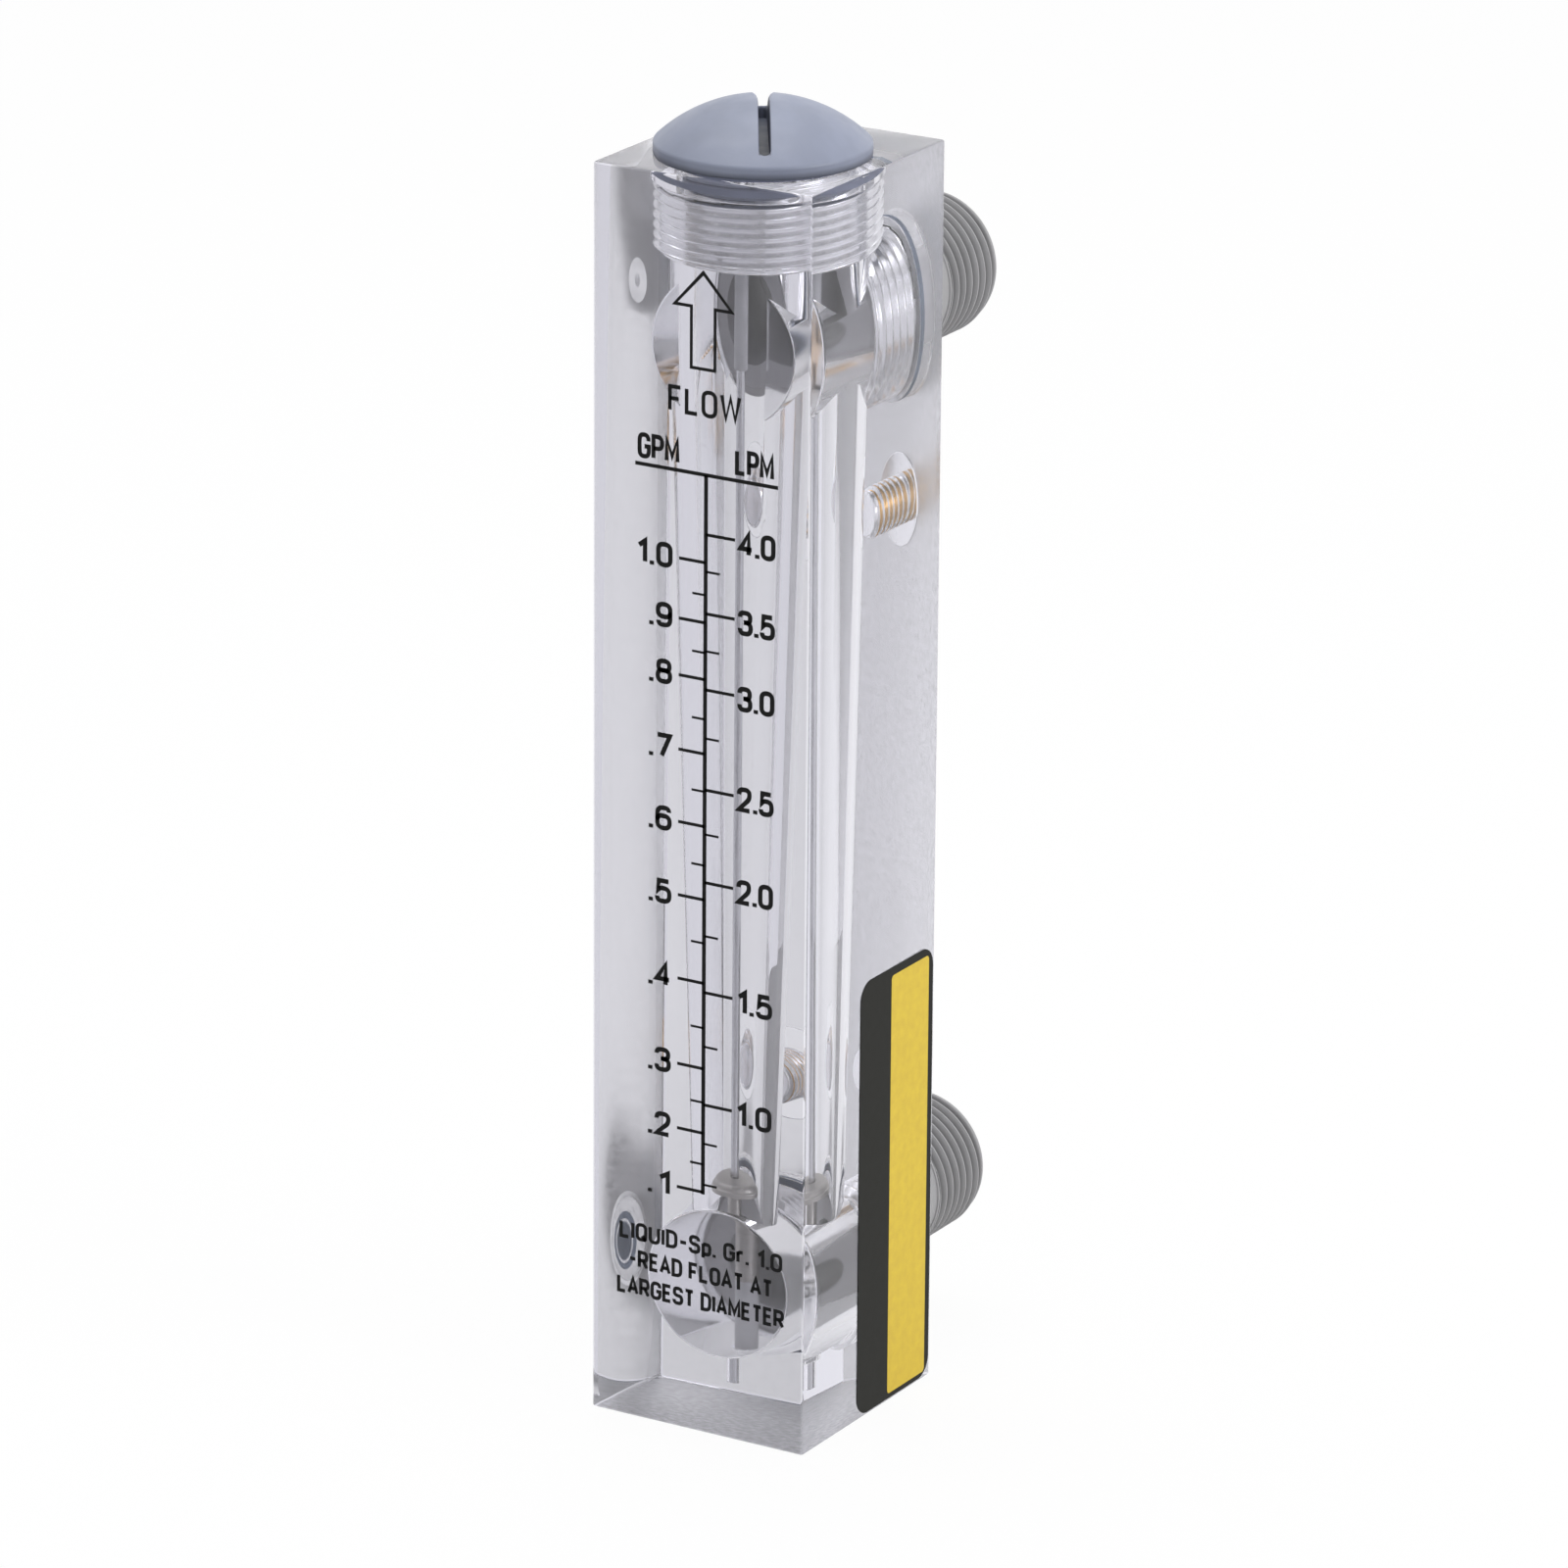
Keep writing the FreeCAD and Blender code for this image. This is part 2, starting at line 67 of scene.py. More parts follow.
def line_along_y(low, high):
    """The point at y = 0 on the axis of a piece that lies along y."""
    return (low[0] + high[0]) / 2, 0, (low[2] + high[2]) / 2


block_low, block_high = node_box("meter_block")
rod_low, rod_high = node_box("guide_rod")
plug_low, plug_high = node_box("top_plug")
float_low, float_high = node_box("float")
label_low, label_high = node_box("side_label")
inlet_low, inlet_high = node_box("inlet_connector")
outlet_low, outlet_high = node_box("outlet_connector")
lower_stop_low = node_box("lower_stop")[0]

BORE_AXIS = np.array([(rod_low[0] + rod_high[0]) / 2, (rod_low[1] + rod_high[1]) / 2, 0.0])
INLET_HEIGHT = (inlet_low[2] + inlet_high[2]) / 2
OUTLET_HEIGHT = (outlet_low[2] + outlet_high[2]) / 2
BLOCK_TOP = block_high[2]
BLOCK_BACK = block_high[1]
BLOCK_FRONT = block_low[1]
PLUG_FLOOR = plug_low[2] - 0.2


# ---- profiles ----

def soft(corners, steps=5, guard=0.12):
    """A polyline with rounded corners.

    corners holds (along, radius, cut). A corner with a cut becomes the quadratic curve
    (1-t)^2 a + 2t(1-t) p + t^2 b between the points a and b that lie the cut before and after the
    corner p, with one more point just outside a and b so that the straights keep their shading.
    """
    points = []
    for number, (along, radius, cut) in enumerate(corners):
        here = np.array([along, radius], float)
        if not cut or number in (0, len(corners) - 1):
            points.append(here[None])
            continue
        before = np.array(corners[number - 1][:2], float) - here
        after = np.array(corners[number + 1][:2], float) - here
        before /= np.linalg.norm(before)
        after /= np.linalg.norm(after)
        share = np.linspace(0, 1, steps)[:, None]
        start, end = here + before * cut, here + after * cut
        arc = (1 - share) ** 2 * start + 2 * share * (1 - share) * here + share ** 2 * end
        points.append(np.vstack([start + before * cut * guard, arc, end + after * cut * guard]))
    return np.vstack(points)


def plain_rows(points):
    """Each point of a profile carried all the way round: along and radius keep one value per row."""
    points = np.asarray(points, float)
    return np.repeat(points[:, :1], COLUMNS + 1, 1), np.repeat(points[:, 1:2], COLUMNS + 1, 1)


def thread_rows(low, high, pitch, root, crest, crest_share=0.125, root_share=0.25, run_in=0.0, run_out=0.0,
                rounding=0.0, phase=0.0):
    """Rows that follow a right-handed thread from low to high.

    A row's place is low + pitch * (step + turn + phase), held between low and high, so its own height
    along the axis climbs one pitch in a turn. The ridge over a pitch is a wave |2 step - 1| cut flat at
    the crest and at the root, eased by rounding towards (1 - cos)/2, and it fades to the root over
    run_in and run_out at the ends. phase shifts it by a share of a pitch, so that two threads mesh.
    """
    turn = np.linspace(0, 1, COLUMNS + 1)[None, :]
    count = (math.ceil((high - low) / pitch) + 2) * THREAD_ROWS
    step = np.arange(-2 * THREAD_ROWS, count - THREAD_ROWS + 1)[:, None] / THREAD_ROWS
    along = np.clip(low + pitch * (step + turn + phase), low, high)
    wave = np.abs(2 * (step % 1) - 1)
    ridge = np.clip((wave - root_share) / (1 - root_share - crest_share), 0, 1)
    ridge = ridge * (1 - rounding) + rounding * (1 - np.cos(np.pi * wave)) / 2
    fade = np.ones_like(along)
    if run_in:
        fade = np.minimum(fade, (along - low) / run_in)
    if run_out:
        fade = np.minimum(fade, (high - along) / run_out)
    return along, root + (crest - root) * ridge * np.clip(fade, 0, 1)


def stack(*parts):
    """Several groups of rows, one after another."""
    return np.vstack([part[0] for part in parts]), np.vstack([part[1] for part in parts])


# ---- meshes ----

def plain_mesh(name, points, faces):
    """A mesh from arrays of points and of faces, as they are."""
    mesh = bpy.data.meshes.new(name)
    mesh.from_pydata(points.reshape(-1, 3).tolist(), [], faces.tolist())
    return mesh


def mesh_from(name, points, faces):
    """A mesh with merged points, closed poles and faces that point outwards."""
    mesh = plain_mesh(name, points, faces)
    work = bmesh.new()
    work.from_mesh(mesh)
    bmesh.ops.remove_doubles(work, verts=work.verts, dist=MERGE)
    bmesh.ops.dissolve_degenerate(work, edges=work.edges, dist=MERGE)
    bmesh.ops.recalc_face_normals(work, faces=work.faces)
    work.to_mesh(mesh)
    work.free()
    return mesh


def grid_faces(rows, columns):
    """Four-cornered faces of a grid with that many rows and columns of points."""
    corner = np.arange(rows * columns).reshape(rows, columns)
    return np.stack([corner[:-1, :-1], corner[:-1, 1:], corner[1:, 1:], corner[1:, :-1]], -1).reshape(-1, 4)


def turned(name, rows, origin, axis="z"):
    """A surface round an axis: origin + along * axis + radius * (cos(angle) u + sin(angle) v)."""
    along, radius = rows
    angle = np.linspace(0, 2 * np.pi, COLUMNS + 1)[None, :]
    u, v, forward = {
        "z": ((1, 0, 0), (0, 1, 0), (0, 0, 1)),
        "y": ((0, 0, 1), (1, 0, 0), (0, 1, 0)),
    }[axis]
    points = (
        np.asarray(origin, float)
        + along[..., None] * np.array(forward, float)
        + (radius * np.cos(angle))[..., None] * np.array(u, float)
        + (radius * np.sin(angle))[..., None] * np.array(v, float)
    )
    return mesh_from(name, points, grid_faces(*along.shape))


def box_mesh(name, low, high):
    """An upright box between two corners."""
    low, high = np.asarray(low, float), np.asarray(high, float)
    bits = np.array([[x, y, z] for x in (0, 1) for y in (0, 1) for z in (0, 1)], float)
    faces = np.array([[0, 1, 3, 2], [4, 6, 7, 5], [0, 4, 5, 1], [2, 3, 7, 6], [0, 2, 6, 4], [1, 5, 7, 3]])
    return mesh_from(name, low + bits * (high - low), faces)


def shown(name, mesh):
    """An object for a mesh, in the scene."""
    piece = bpy.data.objects.new(name, mesh)
    bpy.context.scene.collection.objects.link(piece)
    return piece


def settle(piece):
    """Applies a piece's modifiers to its mesh."""
    bpy.context.view_layer.update()
    made = bpy.data.meshes.new_from_object(piece.evaluated_get(bpy.context.evaluated_depsgraph_get()))
    old = piece.data
    piece.modifiers.clear()
    piece.data = made
    bpy.data.meshes.remove(old)


def cut(piece, *cutters):
    """Takes closed meshes away from a piece."""
    tools = [shown("cutter", mesh) for mesh in cutters]
    for tool in tools:
        change = piece.modifiers.new("cut", "BOOLEAN")
        change.operation = "DIFFERENCE"
        change.solver = "EXACT"
        change.object = tool
    settle(piece)
    for tool in tools:
        mesh = tool.data
        bpy.data.objects.remove(tool)
        bpy.data.meshes.remove(mesh)


def finish(piece, material, body, stands_for=(), smooth=True):
    """Metres, shading, material and body, and hides the nodes that the piece stands for."""
    piece.data.transform(Matrix.Scale(1 / MM, 4))
    if smooth:
        piece.data.shade_smooth()
        piece.data.set_sharp_from_angle(angle=SHARP)
    piece.data.materials.clear()
    piece.data.materials.append(material)
    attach(piece, body)
    if stands_for:
        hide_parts(*stands_for)
    return piece


# ---- sizes that shapes and finishes share ----

HEAD_RADIUS = 15.0
HEAD_RIM = 1.75
SLOT_TURN = math.radians(32)
SLOT_HALF = 0.75
SLOT_REACH = 13.35
SLOT_FLOOR = 1.45
NECK_RADIUS = 12.65
SEAL_GROOVE = 11.5
PIPE_PITCH = 1.814
PIPE_ROOT, PIPE_CREST = 9.32, 10.48
PIPE_LENGTH = 14.3
RIM_DARK, RIM_CLEAR = 0.25, 1.1
HOLLOW_SHADE, GROOVE_SHADE = 0.62, 0.55
MOULD_GRAIN = 0.00002


# ---- materials ----

class Finish:
    """A node material with a few words for its usual nodes."""

    def __init__(self, name):
        self.material = bpy.data.materials.new(name)
        self.material.use_nodes = True
        self.tree = self.material.node_tree
        self.shader = next(node for node in self.tree.nodes if node.type == "BSDF_PRINCIPLED")
        self.place = self.node("ShaderNodeTexCoord").outputs["Object"]

    def node(self, kind, **values):
        """A node whose settings and sockets take the named values."""
        made = self.tree.nodes.new(kind)
        for key, value in values.items():
            if hasattr(made, key):
                setattr(made, key, value)
            else:
                made.inputs[key.replace("_", " ").title()].default_value = value
        return made

    def join(self, source, target):
        """A link from one socket to another."""
        self.tree.links.new(source, target)

    def stretched(self, scale):
        """Object coordinates times a scale on each axis."""
        mapping = self.node("ShaderNodeMapping")
        mapping.inputs["Scale"].default_value = scale
        self.join(self.place, mapping.inputs["Vector"])
        return mapping.outputs["Vector"]

    def axes(self):
        """Object coordinates as x, y and z."""
        split = self.node("ShaderNodeSeparateXYZ")
        self.join(self.place, split.inputs[0])
        return split.outputs

    def noise(self, scale, detail=3.0, roughness=0.5, where=None):
        """Cloudy noise from 0 to 1, at object coordinates or at a socket."""
        made = self.node("ShaderNodeTexNoise")
        made.inputs["Scale"].default_value = scale
        made.inputs["Detail"].default_value = detail
        made.inputs["Roughness"].default_value = roughness
        self.join(where or self.place, made.inputs["Vector"])
        return made.outputs["Fac"]

    def spread(self, source, low, high, start=0.0, end=1.0):
        """Maps start..end of a value to low..high."""
        made = self.node("ShaderNodeMapRange")
        for key, value in (("From Min", start), ("From Max", end), ("To Min", low), ("To Max", high)):
            made.inputs[key].default_value = value
        self.join(source, made.inputs["Value"])
        return made.outputs["Result"]

    def math(self, operation, a, b=None):
        """One sum of numbers or sockets."""
        made = self.node("ShaderNodeMath", operation=operation)
        for socket, value in zip(made.inputs, (a, b)):
            if value is None:
                continue
            if isinstance(value, (int, float)):
                socket.default_value = value
            else:
                self.join(value, socket)
        return made.outputs[0]

    def length(self, a, b):
        """The distance sqrt(a^2 + b^2)."""
        squares = self.math("ADD", self.math("POWER", a, 2.0), self.math("POWER", b, 2.0))
        return self.math("SQRT", squares)

    def blend(self, factor, first, second):
        """A colour between two, each a colour or a socket."""
        made = self.node("ShaderNodeMix", data_type="RGBA")
        self.join(factor, made.inputs[0])
        for socket, value in zip(made.inputs[6:8], (first, second)):
            if isinstance(value, (tuple, list)):
                socket.default_value = (*value[:3], 1.0)
            else:
                self.join(value, socket)
        return made.outputs[2]

    def bump(self, height, distance, strength=1.0):
        """A normal that follows a height."""
        made = self.node("ShaderNodeBump")
        made.inputs["Strength"].default_value = strength
        made.inputs["Distance"].default_value = distance
        self.join(height, made.inputs["Height"])
        return made.outputs["Normal"]

    def set(self, **values):
        """Plain values or sockets for the shader's own sockets."""
        for key, value in values.items():
            socket = self.shader.inputs[key.replace("_", " ").title().replace("Ior", "IOR")]
            if isinstance(value, bpy.types.NodeSocket):
                self.join(value, socket)
            elif isinstance(value, (tuple, list)):
                socket.default_value = (*value[:3], 1.0)
            else:
                socket.default_value = value


def acrylic(name, colour, rough, clearness=1.0, mirror=0.0, wave=0.0, lines=0.0, foot=1.0):
    """Acrylic: a tint taken at the surface, small changes of gloss, and waves or tool lines.

    A share of mirror stands for the total reflection that makes cut flanks look silver from inside the
    block. The foot's share dims the tint towards the floor, where less light gets behind the block.
    """
    made = Finish(name)
    gloss = made.noise(900.0, 4.0)
    dimmed = tuple(foot * part for part in colour)
    tint = made.blend(made.spread(made.axes()[2], 0, 1, 0.008, 0.055), dimmed, colour)
    made.set(base_color=tint, ior=1.49, transmission_weight=clearness, metallic=mirror,
             roughness=made.spread(gloss, rough * 0.6, rough, 0.35, 0.7))
    if wave:
        made.set(normal=made.bump(made.noise(60.0, 2.0), wave, 0.3))
    if lines:
        made.set(normal=made.bump(made.noise(1.0, 3.0, 0.6, made.stretched((60, 60, 5200))), lines, 0.5))
    return made.material


def moulded(name, colour, rough):
    """Moulded plastic: slight cloudiness in colour and gloss, and a fine grain."""
    made = Finish(name)
    cloud = made.noise(140.0, 3.0)
    darker = tuple(0.90 * part for part in colour)
    lighter = tuple(min(1.0, 1.07 * part) for part in colour)
    made.set(base_color=made.blend(made.spread(cloud, 0, 1, 0.35, 0.65), darker, lighter),
             roughness=made.spread(made.noise(420.0, 4.0), rough - 0.07, rough + 0.08, 0.3, 0.7),
             normal=made.bump(made.noise(2600.0, 3.0), MOULD_GRAIN, 0.5))
    return made.material


def slotted_plastic(colour):
    """The plug's plastic, darker inside the coin slot and under the rim, where no light gets in.

    The distance from the slot's middle plane is |x cos + (y - axis) sin|, with the slot's own turn.
    """
    made = Finish("plug_plastic")
    x, y, z = made.axes()
    behind = made.math("SUBTRACT", y, BORE_AXIS[1] / MM)
    over = made.math("ABSOLUTE", made.math(
        "ADD", made.math("MULTIPLY", x, math.cos(SLOT_TURN)),
        made.math("MULTIPLY", behind, math.sin(SLOT_TURN))))
    narrow = made.spread(over, 1, 0, (SLOT_HALF + 0.01) / MM, (SLOT_HALF + 0.15) / MM)
    deep = made.spread(z, 0, 1, (BLOCK_TOP + SLOT_FLOOR - 0.25) / MM, (BLOCK_TOP + SLOT_FLOOR - 0.15) / MM)
    near = made.spread(made.length(x, behind), 1, 0, (SLOT_REACH - 0.1) / MM, (SLOT_REACH + 0.1) / MM)
    slot = made.math("MULTIPLY", narrow, made.math("MULTIPLY", deep, near))
    rim = made.math("MULTIPLY",
                    made.spread(z, 1, 0, (BLOCK_TOP + RIM_DARK) / MM, (BLOCK_TOP + RIM_CLEAR) / MM),
                    made.spread(z, 0, 1, (BLOCK_TOP - 0.03) / MM, BLOCK_TOP / MM))
    cloud = made.spread(made.noise(140.0, 3.0), 0.92, 1.05, 0.35, 0.65)
    lit = [made.math("SUBTRACT", 1.0, made.math("MULTIPLY", hollow, HOLLOW_SHADE)) for hollow in (slot, rim)]
    open_share = made.math("MULTIPLY", *lit)
    made.set(base_color=made.blend(made.math("MULTIPLY", cloud, open_share), (0.0, 0.0, 0.0), colour),
             roughness=made.spread(made.noise(420.0, 4.0), 0.35, 0.50, 0.3, 0.7),
             normal=made.bump(made.noise(2600.0, 3.0), MOULD_GRAIN, 0.5))
    return made.material


def grooved_plastic(colour):
    """The connectors' grey plastic, darker down in the thread: painted shade in the grooves."""
    made = Finish("connector_plastic")
    x, y, z = made.axes()
    reach = [made.length(x, made.math("SUBTRACT", z, height / MM))
             for height in (INLET_HEIGHT, OUTLET_HEIGHT)]
    depth = made.spread(made.math("MINIMUM", *reach), 1, 0,
                        (PIPE_ROOT + 0.18) / MM, (PIPE_CREST - 0.18) / MM)
    start = inlet_high[1] - PIPE_LENGTH
    threaded = made.spread(y, 0, 1, (start - 0.45) / MM, (start + 0.05) / MM)
    groove = made.math("MULTIPLY", depth, threaded)
    cloud = made.spread(made.noise(140.0, 3.0), 0.94, 1.06, 0.35, 0.65)
    # painted shade: the colour goes darker by GROOVE_SHADE towards the thread's roots
    shade = made.math("MULTIPLY", cloud,
                      made.math("SUBTRACT", 1.0, made.math("MULTIPLY", groove, GROOVE_SHADE)))
    made.set(base_color=made.blend(shade, (0.0, 0.0, 0.0), colour),
             roughness=made.spread(made.noise(420.0, 4.0), 0.40, 0.55, 0.3, 0.7),
             normal=made.bump(made.noise(2600.0, 3.0), MOULD_GRAIN, 0.5))
    return made.material


def turned_metal(name, colour, rough, stretch):
    """Turned or drawn metal: fine lines along one way and small patches of gloss."""
    made = Finish(name)
    lines = made.noise(1.0, 4.0, 0.6, made.stretched(stretch))
    darker = tuple(0.80 * part for part in colour)
    made.set(base_color=made.blend(made.spread(lines, 0, 1, 0.3, 0.7), darker, colour),
             metallic=1.0,
             roughness=made.spread(lines, rough - 0.06, rough + 0.10, 0.25, 0.75),
             normal=made.bump(lines, 0.00001, 0.4))
    return made.material


def printed(name, colour, rough):
    """Ink or film: a thin even coat with faint mottling and pinholes of gloss."""
    made = Finish(name)
    mottle = made.noise(700.0, 4.0, 0.6)
    lighter = tuple(min(1.0, 1.12 * part + 0.004) for part in colour)
    made.set(base_color=made.blend(made.spread(mottle, 0, 1, 0.35, 0.7), colour, lighter),
             roughness=made.spread(mottle, rough - 0.05, rough + 0.07, 0.3, 0.7), specular_ior_level=0.12,
             normal=made.bump(made.noise(1800.0, 2.0), 0.000006, 0.5))
    return made.material


PLUG_PLASTIC = slotted_plastic((0.352, 0.385, 0.500))
CONNECTOR_PLASTIC = grooved_plastic((0.47, 0.465, 0.475))
SLEEVE_PLASTIC = moulded("stop_sleeve", (0.62, 0.62, 0.63), 0.40)
SEAL_RUBBER = moulded("seal_rubber", (0.16, 0.20, 0.28), 0.55)
RING_SLATE = moulded("ring_slate", (0.29, 0.32, 0.43), 0.50)
ROD_STEEL = turned_metal("rod_steel", (0.70, 0.70, 0.71), 0.20, (3000, 3000, 60))
FLOAT_STEEL = turned_metal("float_steel", (0.50, 0.48, 0.45), 0.38, (400, 400, 6000))
BRASS = turned_metal("insert_brass", (0.83, 0.52, 0.22), 0.30, (2500, 400, 2500))
INK = printed("scale_ink", (0.008, 0.008, 0.008), 0.45)
LABEL_DARK = printed("label_charcoal", (0.014, 0.014, 0.011), 0.48)
LABEL_BACK = printed("label_adhesive", (0.80, 0.80, 0.80), 0.5)
LABEL_YELLOW = printed("label_yellow", (0.92, 0.66, 0.085), 0.45)


# ---- the clear block ----

TAPER_LOW, TAPER_HIGH = 5.7, 9.8
CHAMBER_RADIUS = 10.9
CHAMBER_END = BLOCK_BACK - 26.75
PORT_THREAD_END = BLOCK_BACK - 14.1
PORT_RECESS_FLOOR = BLOCK_BACK - 3.65
PORT_RECESS_RADIUS = 12.9
PORT_PITCH = 1.814
PORT_MINOR, PORT_MAJOR = 10.95, 12.15
PLUG_PITCH = 1.36
PLUG_MINOR, PLUG_MAJOR = 11.45, 12.4
PLUG_RECESS_FLOOR = BLOCK_TOP - 3.8
PLUG_RECESS_RADIUS = 12.9
INSERT_PITCH = 1.14
INSERT_MINOR, INSERT_MAJOR = 3.12, 3.65
SPOT_RADIUS = 6.65
ROD_HOLE, STOP_HOLE = 0.92, 1.8
THREAD_GAP, INSERT_GAP = 0.1, 0.05
BLOCK_BEVEL = 0.35
PAST = 1.0
FRONT_STEP = 0.015

ACRYLIC_POLISHED = acrylic("acrylic_polished", (0.78, 0.775, 0.85), 0.02, wave=0.000006)
ACRYLIC_BORED = acrylic("acrylic_bored", (0.985, 0.985, 0.99), 0.06, lines=0.000002)
ACRYLIC_TAPPED = acrylic("acrylic_tapped", (0.97, 0.97, 0.98), 0.24, 0.6, 0.8, lines=0.00001)
ACRYLIC_FACED = acrylic("acrylic_faced", (0.96, 0.96, 0.98), 0.13, 0.97, lines=0.000002)
ACRYLIC_SAWN = acrylic("acrylic_sawn", (0.97, 0.97, 0.99), 0.62, 0.96, lines=0.000004, foot=0.75)
ACRYLIC_FOOT = acrylic("acrylic_foot", (0.97, 0.97, 0.99), 0.65, lines=0.000002)
ACRYLIC_FRONT = acrylic("acrylic_front", (0.50, 0.495, 0.555), 0.02, wave=0.000006)


def bore_cutter():
    """What the drill, the taper reamer and the plug's tap take out from the top."""
    foot = lower_stop_low[2]
    below = soft([
        (rod_low[2], 0, 0), (rod_low[2], ROD_HOLE, 0.1), (foot, ROD_HOLE, 0), (foot, STOP_HOLE, 0.1),
        (INLET_HEIGHT, STOP_HOLE, 0), (INLET_HEIGHT, TAPER_LOW, 0), (OUTLET_HEIGHT, TAPER_HIGH, 0),
        (PLUG_FLOOR, TAPER_HIGH, 0.15), (PLUG_FLOOR, PLUG_MINOR, 0),
    ])
    thread = thread_rows(PLUG_FLOOR, PLUG_RECESS_FLOOR, PLUG_PITCH, PLUG_MINOR, PLUG_MAJOR, 0.06, 0.12, 0.5)
    above = soft([
        (PLUG_RECESS_FLOOR, PLUG_MAJOR + 0.05, 0), (PLUG_RECESS_FLOOR, PLUG_RECESS_RADIUS, 0.15),
        (BLOCK_TOP - 0.3, PLUG_RECESS_RADIUS, 0), (BLOCK_TOP + PAST, PLUG_RECESS_RADIUS + 0.3 + PAST, 0),
        (BLOCK_TOP + PAST, 0, 0),
    ])
    return turned("bore_cutter", stack(plain_rows(below), thread, plain_rows(above)), BORE_AXIS)


def port_cutter(height):
    """A flat-ended chamber with a pipe thread and a recess, from the back."""
    inner = soft([
        (CHAMBER_END, 0, 0), (CHAMBER_END, CHAMBER_RADIUS, 0.35),
        (PORT_THREAD_END, CHAMBER_RADIUS, 0), (PORT_THREAD_END, PORT_MINOR, 0),
    ])
    thread = thread_rows(PORT_THREAD_END, PORT_RECESS_FLOOR, PORT_PITCH, PORT_MINOR, PORT_MAJOR,
                         0.06, 0.12, 0.9)
    outer = soft([
        (PORT_RECESS_FLOOR, PORT_MAJOR + 0.05, 0), (PORT_RECESS_FLOOR, PORT_RECESS_RADIUS, 0.15),
        (BLOCK_BACK - 0.25, PORT_RECESS_RADIUS, 0), (BLOCK_BACK + PAST, PORT_RECESS_RADIUS + 0.25 + PAST, 0),
        (BLOCK_BACK + PAST, 0, 0),
    ])
    rows = stack(plain_rows(inner), thread, plain_rows(outer))
    return turned("port_cutter", rows, (0, 0, height), "y")


def insert_cutter(node):
    """A tapped hole for a brass insert with a shallow spot face."""
    low, high = node_box(node)
    mouth = high[1]
    hole_end = low[1] - 0.5
    inner = soft([(hole_end, 0, 0), (hole_end, INSERT_MINOR, 0.2), (low[1], INSERT_MINOR, 0)])
    thread = thread_rows(low[1], mouth, INSERT_PITCH, INSERT_MINOR, INSERT_MAJOR, run_in=0.6)
    outer = soft([
        (mouth, INSERT_MAJOR + 0.05, 0), (mouth, SPOT_RADIUS, 0.08),
        (BLOCK_BACK + PAST, SPOT_RADIUS, 0), (BLOCK_BACK + PAST, 0, 0),
    ])
    rows = stack(plain_rows(inner), thread, plain_rows(outer))
    return turned("insert_cutter", rows, line_along_y(low, high), "y")


POLISHED, BORED, TAPPED, FACED, SAWN, FOOT, FRONT = range(7)
FACE_SLACK, LEVEL_SLACK, CORNER_BAND = 0.05, 0.01, 0.12


def face_kinds(mesh):
    """The kind of finish of each face, told by where its middle lies.

    A later line wins over an earlier one, so the outer faces come last.
    """
    middle = np.empty(len(mesh.polygons) * 3)
    mesh.polygons.foreach_get("center", middle)
    x, y, z = middle.reshape(-1, 3).T
    from_bore = np.hypot(x - BORE_AXIS[0], y - BORE_AXIS[1])
    kinds = np.full(len(x), BORED, np.int32)
    plug_thread = (z > PLUG_FLOOR + FACE_SLACK) & (z < PLUG_RECESS_FLOOR - FACE_SLACK)
    kinds[plug_thread & (from_bore < PLUG_MAJOR + 2 * FACE_SLACK)] = TAPPED
    port_thread = (y > PORT_THREAD_END + FACE_SLACK) & (y < PORT_RECESS_FLOOR - FACE_SLACK)
    for height in (INLET_HEIGHT, OUTLET_HEIGHT):
        from_port = np.hypot(x, z - height)
        kinds[port_thread & (from_port < PORT_MAJOR + 2 * FACE_SLACK)] = TAPPED
        taper = TAPER_HIGH if height == OUTLET_HEIGHT else TAPER_LOW + 0.4
        chamber = (y < PORT_THREAD_END) & (from_port < CHAMBER_RADIUS + FACE_SLACK)
        kinds[chamber & (from_bore > taper + FACE_SLACK)] = FACED
        kinds[(y > PORT_RECESS_FLOOR - FACE_SLACK) & (from_port < PORT_RECESS_RADIUS + 0.4)] = SAWN
    for node in ("lower_insert", "upper_insert"):
        low, high = node_box(node)
        across, _, height = line_along_y(low, high)
        from_insert = np.hypot(x - across, z - height)
        kinds[(y > low[1] - 0.6) & (from_insert < INSERT_MAJOR + 2 * FACE_SLACK)] = TAPPED
        spot = (from_insert > INSERT_MAJOR) & (from_insert < SPOT_RADIUS - FACE_SLACK)
        kinds[(y > high[1] - 2 * FACE_SLACK) & spot] = FACED
    outside = np.abs(x) > block_high[0] - BLOCK_BEVEL - LEVEL_SLACK
    outside |= np.abs(y) > BLOCK_BACK - CORNER_BAND
    outside |= (z < block_low[2] + BLOCK_BEVEL + LEVEL_SLACK) | (z > BLOCK_TOP - CORNER_BAND)
    kinds[outside & (kinds != FACED) & (kinds != SAWN)] = POLISHED
    kinds[y > BLOCK_BACK - LEVEL_SLACK] = SAWN
    kinds[z < block_low[2] + LEVEL_SLACK] = FOOT
    kinds[y < BLOCK_FRONT + FRONT_STEP + LEVEL_SLACK] = FRONT
    return kinds


